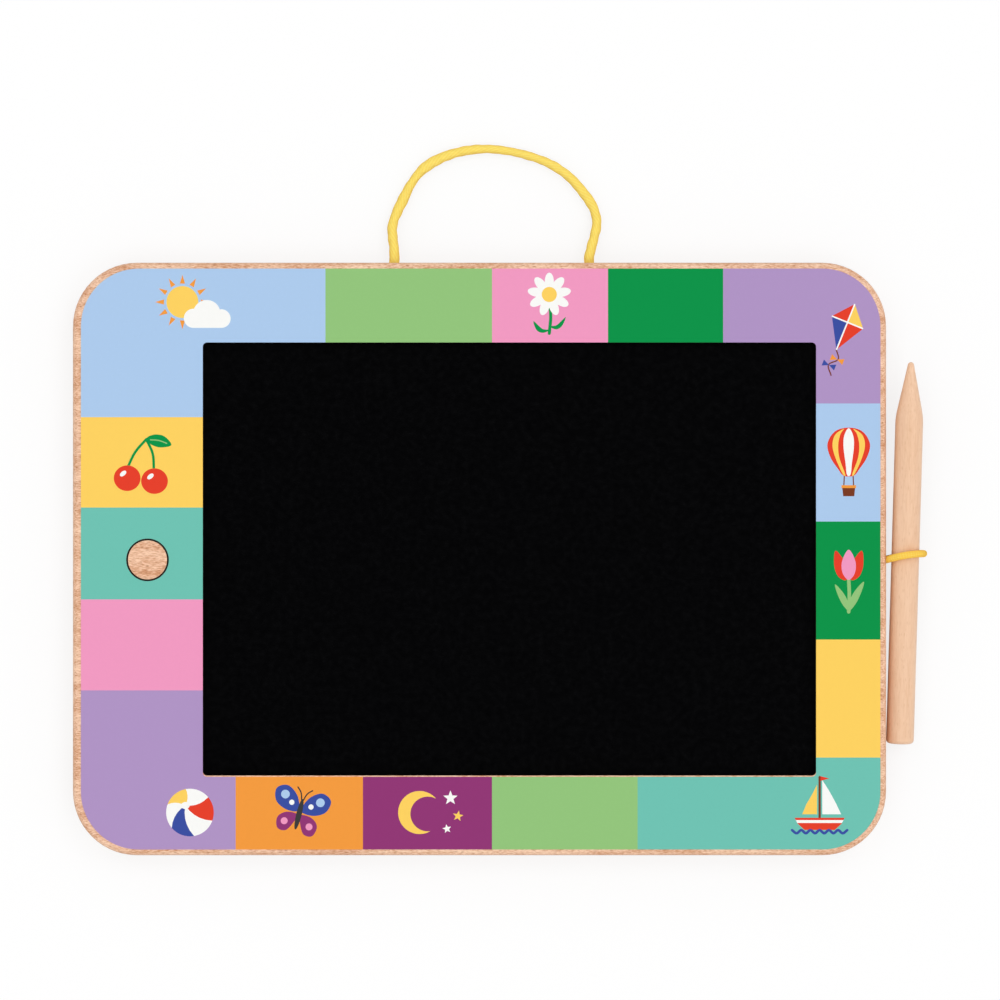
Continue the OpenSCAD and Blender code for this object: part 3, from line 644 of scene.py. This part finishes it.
@dataclass
class RopeHandle:
    """The soft rope that leaves the upper edge, sinks to the table and lies in an arch."""

    middle: float = 4.2 * MM  # Place of the handle along the upper edge.
    edge: float = 102 * MM  # Place of the upper edge.
    # Points of the rope from the middle and the edge, in millimetres: along the edge, out from it
    # and above the table, and the rope's width there.
    route: tuple[Four, ...] = (
        (-33.6, 1.95, 6.0, 3.4), (-33.7, 5.0, 5.6, 3.3), (-34.2, 9.0, 4.2, 3.3),
        (-34.3, 13.1, 2.8, 3.7), (-32.8, 17.7, 2.0, 3.2), (-30.6, 22.3, 1.75, 3.05),
        (-28.0, 27.4, 1.75, 3.8), (-24.1, 32.4, 1.75, 3.4), (-18.3, 36.2, 1.75, 3.2),
        (-11.0, 38.7, 1.75, 3.15), (-2.8, 39.7, 1.75, 2.8), (4.8, 39.1, 1.75, 2.9),
        (12.5, 37.4, 1.75, 2.8), (20.0, 34.6, 1.75, 3.0), (26.5, 30.3, 1.75, 3.1),
        (31.5, 24.8, 1.75, 3.2), (35.0, 19.6, 1.9, 3.35), (36.3, 14.5, 2.6, 3.4),
        (35.6, 10.0, 3.9, 3.15), (34.4, 5.5, 5.5, 3.25), (33.6, 1.95, 6.0, 3.4),
    )
    diameter: float = 3.3 * MM
    strands: int = 3  # Strands that the rope is laid from.
    lay: float = 12 * MM  # Length in which a strand goes once round.
    groove: float = 0.08  # Depth of the grooves between them, as a share of the radius.
    plump: float = 0.8  # Power that rounds the strands.
    proud: float = 1.03  # Radius at the strands' crests, as a share of the rope's.
    thickness: float = 3.2 * MM  # Greatest thickness from below to above, where the rope lies flatter.
    swells: int = 6  # Number of slow waves that make the rope uneven.
    swell_height: Point = (0.01, 0.03)  # Range of their heights, as shares of the radius.
    swell_length: Point = (4.0, 14.0)  # Range of their lengths in millimetres.
    seed: int = 7  # Seed of the waves.
    sunk: float = 1.0 * MM  # Length of rope that reaches into each hole.
    bend: float = 11 * MM  # Length over which the rope bends when it is lifted. Not used.
    steps: int = 12  # Rings between two points of the route.
    sides: int = 36  # Points in a ring.

    def build(self) -> list[Piece]:
        """Lays the rope and logs its length.

        Returns:
            The rope and its ends in the board.
        """
        spots = [
            Vector((self.middle + x * MM, self.edge + y * MM, z * MM, w * MM)) for x, y, z, w in self.route
        ]
        holes = [Vector((spot.x, self.edge - self.sunk, *spot.zw)) for spot in (spots[0], spots[-1])]
        spots = [holes[0], *spots, holes[1]]
        rings = spline(spots, self.steps)
        line, wide = [v.xyz for v in rings], [v.w for v in rings]
        along = lengths(line)
        chance = random.Random(self.seed)
        spans = (self.swell_height, self.swell_length, (0, TURN))
        swells = [[chance.uniform(*span) for span in spans] for _ in range(self.swells)]

        def radius(length: float, turn: float) -> float:
            """Gives the radius, with strands, grooves and soft unevenness.

            Args:
                length: Length along the rope.
                turn: Share of a turn round it.

            Returns:
                The radius there.
            """
            share = length / along[-1] * (len(wide) - 1)
            low = min(int(share), len(wide) - 2)
            half = (wide[low] + (wide[low + 1] - wide[low]) * (share - low)) / 2
            flat = min(half, self.thickness / 2)
            angle = TURN * turn
            half *= flat / hypot(half * cos(angle), flat * sin(angle))
            strand = abs(cos(pi * self.strands * (turn - length / self.lay)))
            swell = sum(a * sin(TURN * length / (p * MM) + s) for a, p, s in swells)
            return half * (self.proud - self.groove * (1 - strand**self.plump) + swell)

        ends = dress(handle_tails=ROPE_COTTON, handle_knots=ROPE_COTTON)
        rope = coat(sweep("rope", line, self.sides, radius), ROPE_COTTON)
        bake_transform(rope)
        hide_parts("handle_cord")
        LOG.info("rope: %.1f mm long", along[-1] / MM)
        return [rope, *ends]


@dataclass
class PenLoop:
    """The elastic loop on the right edge, with both ends knotted inside the board."""

    root: Point = (140 * MM, -0.3 * MM)  # Place on the edge that the loop's plane goes through.
    yaw: float = 8.0  # Angle in degrees at which the strands run inside the board.
    # Slope along the edge where the loop leaves it, and its change per metre.
    drift: Point = (0.326, -12.5)
    centre: Point = (6.8535 * MM, 7.7 * MM)  # Middle of the round part: out from the edge, and up.
    bow: float = 6.35 * MM  # Radius of the round part.
    mouths: Point = (9.2 * MM, 2.8 * MM)  # Heights at which the two strands leave the edge.
    inner: float = 9.5 * MM  # Depth of the strands' ends in the board.
    inner_heights: Point = (7.45 * MM, 4.55 * MM)  # Heights of the strands' ends.
    diameter: float = 2.5 * MM
    ribs: int = 5  # Yarns that go round the cord each way.
    rib_pitch: float = 8 * MM  # Length in which a yarn goes once round.
    rib_height: float = 0.05  # Relief of the braid, as a share of the radius.
    bends: int = 28  # Steps of the round part before it is smoothed.
    steps: int = 6  # Rings in each of them.
    sides: int = 40  # Points in a ring.

    def touch(self, mouth: float, side: int) -> float:
        """Finds where the straight strand from a mouth meets the round part.

        Args:
            mouth: Height of the mouth.
            side: 1 for the touching point that lies further round, -1 for the nearer one.

        Returns:
            The angle of that point round the loop's middle, between 0 and a full turn.
        """
        way = (-self.centre[0], mouth - self.centre[1])
        lean = acos(self.bow / hypot(*way))
        return atan2(way[1], way[0]) % TURN + side * lean

    def build(self) -> list[Piece]:
        """Makes the braided loop.

        Returns:
            The loop and its knot.
        """
        upper, lower = (
            [(-self.inner, start), (-self.inner / 2, (start + mouth) / 2), (0.0, mouth)]
            for start, mouth in zip(self.inner_heights, self.mouths)
        )
        first = self.touch(self.mouths[0], -1)
        last = self.touch(self.mouths[1], 1) - TURN
        arc = [first + (last - first) * i / self.bends for i in range(self.bends + 1)]
        bow = [polar(*self.centre, self.bow, angle) for angle in arc]
        turn = radians(self.yaw)
        spots = []
        for out, up in [*upper, *bow, *reversed(lower)]:
            slope = sin(turn) if out < 0 else self.drift[0] + self.drift[1] * out
            spots.append(Vector((self.root[0] + out * cos(turn), self.root[1] + out * slope, up)))

        def radius(length: float, around: float) -> float:
            """Gives the radius at some length and share of a turn, with the ribs of the braid."""
            rise, ring = TURN * self.ribs * length / self.rib_pitch, TURN * self.ribs * around
            return self.diameter / 2 * (1 - self.rib_height * (1 - sin(ring + rise) * sin(ring - rise)) / 2)

        tube = sweep("elastic_loop", spline(spots, self.steps), self.sides, radius)
        loop = coat(tube, ELASTIC_BRAID)
        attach(loop, "board")
        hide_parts("pen_loop")
        return [loop, *dress(loop_knot=ELASTIC_BRAID)]


def oval(x: float, y: float, wide: float, high: float) -> Outline:
    """Outlines an oval, with fewer points if small, by its middle and half its width and height."""
    steps = 24 if max(wide, high) < 2 else 48
    return [(x + wide * cos(a), y + high * sin(a)) for a in (TURN * i / steps for i in range(steps))]


def turned(outline: Outline, x: float, y: float, turn: float) -> Outline:
    """Turns an outline about its middle, by an angle in degrees, and moves it."""
    c, s = cos(radians(turn)), sin(radians(turn))
    return [(x + u * c - v * s, y + u * s + v * c) for u, v in outline]


def rounded(*points: Point) -> Outline:
    """Outlines a smooth closed shape through points."""
    line = spline([Vector((*p, 0.0)) for p in (*points[-2:], *points, *points[:2])], ROUND_STEPS)
    return [(v.x, v.y) for v in line[2 * ROUND_STEPS : -ROUND_STEPS - 1]]


def stroke(points: Outline, width: float) -> Outline:
    """Outlines a smooth line with round ends.

    Args:
        points: Points that the line passes through.
        width: Width of the line.

    Returns:
        The outline.
    """
    line = spline([Vector((*p, 0.0)) for p in points], STROKE_STEPS)
    left, right = [], []
    for i, spot in enumerate(line):
        ahead = heading(line, i)
        off = Vector((-ahead.y, ahead.x, 0.0)) * width / 2
        left.append(spot + off)
        right.append(spot - off)
    quarters = [Matrix.Rotation(radians(a), 3, "Z") for a in (45, 90, 135)]
    caps = [
        [spot + quarter @ (start - spot) for quarter in quarters]
        for spot, start in ((line[-1], right[-1]), (line[0], left[0]))
    ]
    return [(v.x, v.y) for v in (*right, *caps[0], *reversed(left), *caps[1])]


def mirrored(outline: Outline) -> Outline:
    """Mirrors an outline across the Y axis."""
    return [(-x, y) for x, y in reversed(outline)]


# Flat areas of one ink, in millimetres. A later layer of a picture lies over the earlier ones.
Layer = tuple[Ink, list[Outline]]


def sun_and_cloud() -> list[Layer]:
    """Draws a sun with rays behind a cloud.

    Returns:
        Its layers.
    """
    rays = [
        [polar(-3.2, 1.4, r, radians(a) + lean) for r, lean in ((6.4, -0.14), (9.4, 0), (6.4, 0.14))]
        for a in range(0, 360, 30)
    ]
    puffs = [oval(x, y, r, r) for x, y, r in ((0.6, -4.2, 3.3), (5.2, -2.6, 4.7), (10.2, -4.3, 3.2))]
    return [
        (Ink.ORANGE, rays),
        (Ink.YELLOW, [oval(-3.2, 1.4, 5.5, 5.5)]),
        (Ink.WHITE, [*puffs, [(0.6, -7.5), (10.2, -7.5), (10.2, -3.5), (0.6, -3.5)]]),
    ]


def daisy() -> list[Layer]:
    """Draws a flower with white petals on a stem.

    Returns:
        Its layers.
    """
    stem = stroke([(0, 2), (0.5, -4), (0, -9.8)], 1.1)
    leaves = [
        rounded((0.2, -7.4), (2.6, -6.9), (5.6, -4.2), (4.4, -7.2), (2.4, -8.4)),
        rounded((0.1, -8.6), (-2.4, -8.2), (-5.4, -5.6), (-4.4, -8.6), (-2.2, -9.6)),
    ]
    petals = [turned(oval(0, 0, 3.0, 1.55), *polar(0, 3.6, 4.5, radians(a)), a) for a in range(10, 360, 40)]
    return [
        (Ink.DARK_GREEN, [stem, *leaves]),
        (Ink.WHITE, petals),
        (Ink.YELLOW, [oval(0, 3.6, 2.6, 2.6)]),
    ]


def kite() -> list[Layer]:
    """Draws a kite of four panels with a tail of bows.

    Returns:
        Its layers.
    """
    top, right, low, left, middle = (0, 9.4), (5.8, 2.6), (0, -7.6), (-5.8, 2.6), (0, 2.6)
    near, far = (
        [[(x, y), (x + side, y + 1.1), (x + side, y - 1.1)] for side in (2.3, -2.3)]
        for x, y in ((1.5, -10.6), (-0.4, -13.4))
    )
    struts = ([(0, 9.2), (0, 2), (0, -7.4)], [(-5.6, 2.6), middle, (5.6, 2.6)])
    return [
        (Ink.BROWN, [stroke([low, (1.8, -10.4), (-0.6, -13.4), (1.6, -16.4)], 0.45)]),
        (Ink.ORANGE, near),
        (Ink.BLUE, far),
        (Ink.RED, [[top, left, middle]]),
        (Ink.YELLOW, [[top, middle, right]]),
        (Ink.BLUE, [[left, low, middle]]),
        (Ink.RED, [[middle, low, right]]),
        (Ink.WHITE, [stroke(strut, 0.5) for strut in struts]),
    ]


def balloon() -> list[Layer]:
    """Draws a striped hot-air balloon with its basket.

    Returns:
        Its layers.
    """
    ropes = [stroke([(s * 1.5, -6.4), (s * 1.6, -8.4), (s * 1.7, -10.4)], 0.4) for s in (-1, 1)]
    bag = [(4.7, 8.7), (7.3, 4.5), (6.3, -0.2), (3.7, -4.2), (2.0, -6.4)]
    outer = [(1.6, 9.6), (4.6, 7.6), (5.6, 4), (4.5, -0.6), (2.0, -6)]
    side = rounded(*outer, (1.2, -6), (3.2, -0.4), (3.6, 4.2), (2.8, 7.8))
    front = [(1.5, 7.4), (1.8, 3.6), (1.1, -2.2), (0.6, -6.2)]
    return [
        (Ink.BROWN, ropes),
        (Ink.RED, [rounded((0, 10), *bag, (0, -6.8), *mirrored(bag))]),
        (Ink.YELLOW, [side, mirrored(side)]),
        (Ink.WHITE, [rounded((0, 9.8), *front, *mirrored(front))]),
        (Ink.BROWN, [[(-2.3, -10), (-1.9, -13.6), (1.9, -13.6), (2.3, -10)]]),
        (Ink.ORANGE, [[(-2.5, -10.8), (2.5, -10.8), (2.5, -9.8), (-2.5, -9.8)]]),
    ]


def tulip() -> list[Layer]:
    """Draws a tulip with two leaves.

    Returns:
        Its layers.
    """
    stem = stroke([(0, -1.6), (0.2, -7), (0, -13)], 1.2)
    leaf = rounded((0.1, -12.6), (2.4, -10.2), (4.4, -6), (5.2, -2.6), (2.4, -5.4), (0.4, -9))
    small = [(x * 0.9, y * 0.9 - 1.2) for x, y in leaf]
    petals = [
        rounded((-0.8, -2), (-3.6, -0.8), (-5, 3), (-4.6, 8), (-2, 5.4), (0, 2)),
        rounded((0.8, -2), (0, 2), (2, 5.4), (4.6, 8), (5, 3), (3.6, -0.8)),
    ]
    return [
        (Ink.LIGHT_GREEN, [stem, leaf, mirrored(small)]),
        (Ink.RED, petals),
        (Ink.PINK, [rounded((0, 8.4), (2.3, 4.4), (2.1, 0.4), (0, -2), (-2.1, 0.4), (-2.3, 4.4))]),
    ]


def boat() -> list[Layer]:
    """Draws a sailing boat on a wavy line.

    Returns:
        Its layers.
    """
    hull = [(-8.6, -4.4), (-7.6, -6.4), (-5.2, -8.6), (5.2, -8.6), (7.6, -6.4), (8.6, -4.4)]
    waves = [(-9.5 + 19 * i / 12, -9.2 + 0.55 * (-1) ** i) for i in range(13)]
    return [
        (Ink.BROWN, [stroke([(0, -5), (0, 2), (0, 9.6)], 0.8)]),
        (Ink.WHITE, [[(0.9, -3.2), (7.4, -3.2), (5.6, 0.6), (3.2, 5), (0.9, 8.6)]]),
        (Ink.YELLOW, [[(-0.9, 7), (-2.6, 3.6), (-4.6, 0.2), (-6.0, -3.2), (-0.9, -3.2)]]),
        (Ink.RED, [[(0.3, 9.9), (0.3, 8.3), (3.4, 9.1)], hull]),
        (Ink.WHITE, [[(-8.2, -5.2), (-7.7, -6.2), (7.7, -6.2), (8.2, -5.2)]]),
        (Ink.BLUE, [stroke(waves, 0.9)]),
    ]


def moon_and_stars() -> list[Layer]:
    """Draws a crescent moon with three stars.

    Returns:
        Its layers.
    """
    crescent = [polar(0, 0, 7.4, radians(a)) for a in range(40, 301, 5)]
    first, last, middle, steps = crescent[0], crescent[-1], (2.8, -0.5), 30
    end, start = (atan2(y - middle[1], x - middle[0]) for x, y in (first, last))
    start %= TURN
    near = dist(first, middle)
    spread = dist(last, middle) - near
    for t in (i / steps for i in range(1, steps)):
        crescent.append(polar(*middle, near + spread * (1 - t), start + (end - start) * t))
    layers = [(Ink.YELLOW, [crescent])]
    for ink, x, y, outer, inner, turn in (
        (Ink.WHITE, 10.6, 5.0, 2.6, 1.1, 90),
        (Ink.YELLOW, 13.2, -1.2, 1.9, 0.8, 80),
        (Ink.WHITE, 9.4, -5.6, 1.6, 0.7, 100),
    ):
        reaches = enumerate([outer, inner] * 5)
        layers.append((ink, [[polar(x, y, r, radians(turn + 36 * i)) for i, r in reaches]]))
    return layers


def butterfly() -> list[Layer]:
    """Draws a butterfly with spotted wings.

    Returns:
        Its layers.
    """
    lower = rounded((0.5, -0.6), (4.4, -0.6), (7, -3), (6.2, -6.6), (3.2, -6.8), (1.2, -3.6))
    upper = rounded((0.5, 0.8), (2, 5.6), (6, 8.4), (9.6, 6.6), (8.8, 2.4), (4.8, 0.2))
    feeler = stroke([(0.3, 4.6), (1.1, 7), (2.6, 8.6)], 0.45)
    large, small, low = (
        [oval(side * x, y, r, r) for side in (1, -1)]
        for x, y, r in ((6.2, 5.2, 1.5), (3.4, 3, 0.9), (4.4, -3.8, 1.2))
    )
    return [
        (Ink.PLUM, [lower, mirrored(lower)]),
        (Ink.BLUE, [upper, mirrored(upper)]),
        (Ink.LIGHT_BLUE, large),
        (Ink.WHITE, small),
        (Ink.PINK, low),
        (Ink.CHARCOAL, [feeler, mirrored(feeler), oval(0, -0.4, 0.95, 5.4)]),
    ]


def ball() -> list[Layer]:
    """Draws a beach ball with coloured panels.

    Returns:
        Its layers.
    """
    radius, pole = 8.2, (-1.6, 2.4)
    layers = [(Ink.WHITE, [oval(0, 0, radius, radius)])]
    for start, ink in ((-20, Ink.RED), (100, Ink.YELLOW), (220, Ink.BLUE)):
        arc = [polar(0, 0, radius, radians(start + 4 * i)) for i in range(16)]
        sides = []
        for x, y in (arc[-1], arc[0]):
            across, up = pole[0] - x, pole[1] - y
            sides.append(
                [
                    (x + across * t - up * t * (1 - t) / 2, y + up * t + across * t * (1 - t) / 2)
                    for t in (0.2, 0.4, 0.6, 0.8)
                ]
            )
        layers.append((ink, [[*arc, *sides[0], pole, *reversed(sides[1])]]))
    return [*layers, (Ink.WHITE, [oval(*pole, 1.5, 1.2)])]


def cherries() -> list[Layer]:
    """Draws two cherries on their stalks, with a leaf.

    Returns:
        Its layers.
    """
    stalks = ([(-4.6, -1), (-2, 4.2), (1.8, 8.6)], [(4.4, -2), (4, 3.6), (1.8, 8.6)])
    leaf = rounded((1.6, 8.7), (4.4, 10.2), (8, 9.6), (10.4, 6.6), (6.6, 5.8), (3.4, 6.8))
    return [
        (Ink.DARK_GREEN, [*(stroke(stalk, 0.9) for stalk in stalks), leaf]),
        (Ink.LIGHT_GREEN, [stroke([(3.2, 8.4), (6, 8.2), (8.8, 7.2)], 0.4)]),
        (Ink.RED, [oval(-4.8, -4.8, 4.6, 4.4), oval(4.6, -5.8, 4.6, 4.4)]),
        (Ink.WHITE, [turned(oval(0, 0, 1.3, 0.75), x, y, 40) for x, y in ((-6.2, -3.2), (3.2, -4.2))]),
    ]


@dataclass
class ColourPrint:
    """The screen print on the front panel: plain colour blocks and small pictures.

    Sizes are in millimetres.
    """

    corner: float = 19.9  # Corner radius of the print.
    # Lowest X and Y and highest X and Y of the window's opening.
    window: Four = (-95.2, -74.95, 115.8, 74.5)
    window_corner: float = 1.5  # Corner radius of the opening.
    corner_steps: int = 24  # Straight pieces in a round corner.
    hole: tuple[float, float, float] = (-114.2, -0.3, 14.4)  # X, Y and diameter of the button's opening.
    painted_gap_shade: float = 0.15  # Width of the charcoal ring printed round that opening: painted shade for the gap round the button.
    weld: float = 1e-5  # Distance below which two points of outlines are one.
    # Ink and lowest X and Y and highest X and Y of each block.
    blocks: tuple[tuple[Ink, float, float, float, float], ...] = (
        (Ink.LIGHT_BLUE, -137.1, 48.8, -53.0, 99.9), (Ink.LIGHT_GREEN, -53.0, 74.0, 4.3, 99.9),
        (Ink.PINK, 4.3, 74.0, 44.2, 99.9), (Ink.DARK_GREEN, 44.2, 74.0, 83.8, 99.9),
        (Ink.LILAC, 83.8, 53.5, 137.9, 99.9), (Ink.LIGHT_BLUE, 115.0, 12.9, 137.9, 53.5),
        (Ink.DARK_GREEN, 115.0, -27.7, 137.9, 12.9), (Ink.YELLOW, 115.0, -68.3, 137.9, -27.7),
        (Ink.TEAL, 54.4, -99.9, 137.9, -68.3), (Ink.LIGHT_GREEN, 4.3, -99.9, 54.4, -74.0),
        (Ink.PLUM, -40.1, -99.9, 4.3, -74.0), (Ink.ORANGE, -83.9, -99.9, -40.1, -74.0),
        (Ink.LILAC, -137.1, -99.9, -83.9, -45.2), (Ink.PINK, -137.1, -45.2, -95.0, -13.9),
        (Ink.TEAL, -137.1, -13.9, -95.0, 17.7), (Ink.YELLOW, -137.1, 17.7, -95.0, 48.8),
    )
    # Each small picture, its X and Y and its turn in degrees.
    pictures: tuple[tuple[Callable[[], list[Layer]], float, float, float], ...] = (
        (sun_and_cloud, -99.0, 87.0, 0.0), (daisy, 24.0, 87.4, 0.0),
        (kite, 125.6, 79.0, -22.0), (balloon, 127.0, 35.2, 0.0),
        (tulip, 127.0, -5.2, 0.0), (boat, 117.0, -84.6, 0.0),
        (moon_and_stars, -20.6, -87.2, 0.0), (butterfly, -62.0, -87.4, -14.0),
        (ball, -99.6, -87.2, 0.0), (cherries, -116.4, 32.6, 0.0),
    )

    def round_corners(self, box: Four, r: float) -> Outline:
        """Outlines a rectangle with round corners.

        Args:
            box: Lowest X and Y and highest X and Y.
            r: Corner radius.

        Returns:
            The outline.
        """
        x0, y0, x1, y1 = box[0] + r, box[1] + r, box[2] - r, box[3] - r
        corners = ((x1, y1, 0), (x0, y1, 90), (x0, y0, 180), (x1, y0, 270))
        angles = [90 * i / self.corner_steps for i in range(self.corner_steps + 1)]
        return [polar(x, y, r, radians(start + a)) for x, y, start in corners for a in angles]

    def areas(self) -> list[tuple[Ink, Outline]]:
        """Lists the areas of ink, each of which lies over the earlier ones.

        Returns:
            The ink and the outline of each.
        """
        x, y, d = self.hole
        reach = d / 2 + self.painted_gap_shade
        listed = [(ink, [(a, b), (c, b), (c, e), (a, e)]) for ink, a, b, c, e in self.blocks]
        # Painted shade: a charcoal ring round the opening, where the gap round the button lies in shadow.
        listed.append((Ink.CHARCOAL, oval(x, y, reach, reach)))
        for picture, *place in self.pictures:
            for ink, outlines in picture():
                listed += [(ink, turned(outline, *place)) for outline in outlines]
        return listed

    def build(self) -> list[Piece]:
        """Cuts the print into areas of one ink each, as one thin closed sheet.

        Returns:
            The print.
        """
        low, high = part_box("front_print")
        whole = self.round_corners((low.x / MM, low.y / MM, high.x / MM, high.y / MM), self.corner)
        x, y, d = self.hole
        openings = [self.round_corners(self.window, self.window_corner), oval(x, y, d / 2, d / 2)]
        limits = [whole, *openings]
        inked = self.areas()
        spots, rings = [], []
        for outline in [*limits, *(outline for _, outline in inked)]:
            after = [*outline[1:], outline[0]]
            area = sum(p[0] * q[1] - q[0] * p[1] for p, q in zip(outline, after))
            rings.append(list(range(len(spots), len(spots) + len(outline))))
            spots += [Vector(p) for p in (outline if area > 0 else outline[::-1])]
        points, _, triangles, _, _, owners = delaunay_2d_cdt(spots, [], rings, FILLED, self.weld)
        inks = list(Ink)
        mesh = bpy.data.meshes.new("colour_print")
        shape = bmesh.new()
        verts = [shape.verts.new((p.x * MM, p.y * MM, low.z)) for p in points]
        # Outline 0 is the whole print, and the next ones are its openings.
        gone = set(range(1, len(limits)))
        for corners, inside in zip(triangles, owners):
            upmost = max(inside) - len(limits)
            if 0 in inside and gone.isdisjoint(inside) and upmost >= 0:
                face = shape.faces.new([verts[i] for i in corners])
                face.material_index = inks.index(inked[upmost][0])
        bmesh.ops.delete(shape, geom=[v for v in shape.verts if not v.link_faces], context="VERTS")
        raised = bmesh.ops.extrude_face_region(shape, geom=shape.faces[:])
        top = [v for v in raised["geom"] if isinstance(v, bmesh.types.BMVert)]
        bmesh.ops.translate(shape, verts=top, vec=(0.0, 0.0, high.z - low.z))
        bmesh.ops.recalc_face_normals(shape, faces=shape.faces[:])
        shape.to_mesh(mesh)
        shape.free()
        sheet = new_piece("colour_print", mesh)
        for ink in inks:
            mesh.materials.append(ink.finish().material())
        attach(sheet, "board")
        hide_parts("front_print")
        return [sheet]


@dataclass
class WoodenBoard:
    """The two panels, the core between them and the screws of the back."""

    rim: float = 10 * MM  # Width of the front panel's rim, within which all walls are those of openings.

    def build(self) -> list[Piece]:
        """Dresses the board and chars the walls of the openings that were cut by laser.

        Returns:
            The pieces of the board.
        """
        pieces = dress(
            front_panel=FRONT_BEECH,
            core_frame=CORE_BEECH,
            back_panel=BACK_BEECH,
            back_screws=ZINC_STEEL,
        )
        char_walls("front_panel", self.rim)
        return pieces


@dataclass
class WritingScreen:
    """The writing film with what carries it and the tail that joins it to the circuit."""

    def build(self) -> list[Piece]:
        """Dresses the screen.

        Returns:
            The pieces of the screen.
        """
        return dress(
            lcd_film=SCREEN_FILM,
            screen_gasket=BLACK_FOAM,
            lcd_backing=BLACK_ABS,
            foam_pads=WHITE_FOAM,
            flex_tail=POLYIMIDE,
        )


@dataclass
class EraseButton:
    """The wooden cap on its plunger, with the switch and the circuit under it."""

    travel: float = 0.8 * MM  # Distance by which the button is pressed. Not used.

    def build(self) -> list[Piece]:
        """Dresses the button and makes a copy of its snap dome.

        Returns:
            The pieces of the button.
        """
        dome = coat(new_piece("snap_dome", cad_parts["key_dome"].data.copy()), SPRING_STEEL)
        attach(dome, "board")
        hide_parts("key_dome")
        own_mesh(dome)
        others = dress(
            erase_cap=CAP_BEECH,
            button_carrier=BLACK_ABS,
            button_housing=BLACK_ABS,
            circuit_board=LAMINATE,
            board_parts=EPOXY,
            board_screws=ZINC_STEEL,
        )
        char_walls("erase_cap")
        return [dome, *others]


@dataclass
class BatteryBox:
    """The tray with the coin cell, its contacts and leads, and the door with its screw."""

    def build(self) -> list[Piece]:
        """Dresses the battery box.

        Returns:
            The pieces of the battery box.
        """
        return dress(
            battery_tray=BLACK_ABS,
            contact_positive=SPRING_STEEL,
            contact_negative=SPRING_STEEL,
            coin_cell=CELL_STEEL,
            battery_leads=RED_PVC,
            battery_door=BLACK_ABS,
            door_screw=ZINC_STEEL,
            door_insert=BRASS,
        )


@dataclass
class WritingPen:
    """The turned pen."""

    def build(self) -> list[Piece]:
        """Dresses the pen."""
        return dress(pen=PEN_BEECH)


def main() -> None:
    """Builds the stage, the cords and then the rest, and logs each piece."""
    logging.basicConfig(level=logging.INFO, format="%(name)s: %(message)s")
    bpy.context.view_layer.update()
    Studio().build()
    for part in (
        RopeHandle, PenLoop, ColourPrint, WoodenBoard, WritingScreen, EraseButton, BatteryBox, WritingPen
    ):
        for piece in part().build():
            LOG.info("%s: %s", part.__name__, piece.name)


if __name__ == "__main__":
    main()
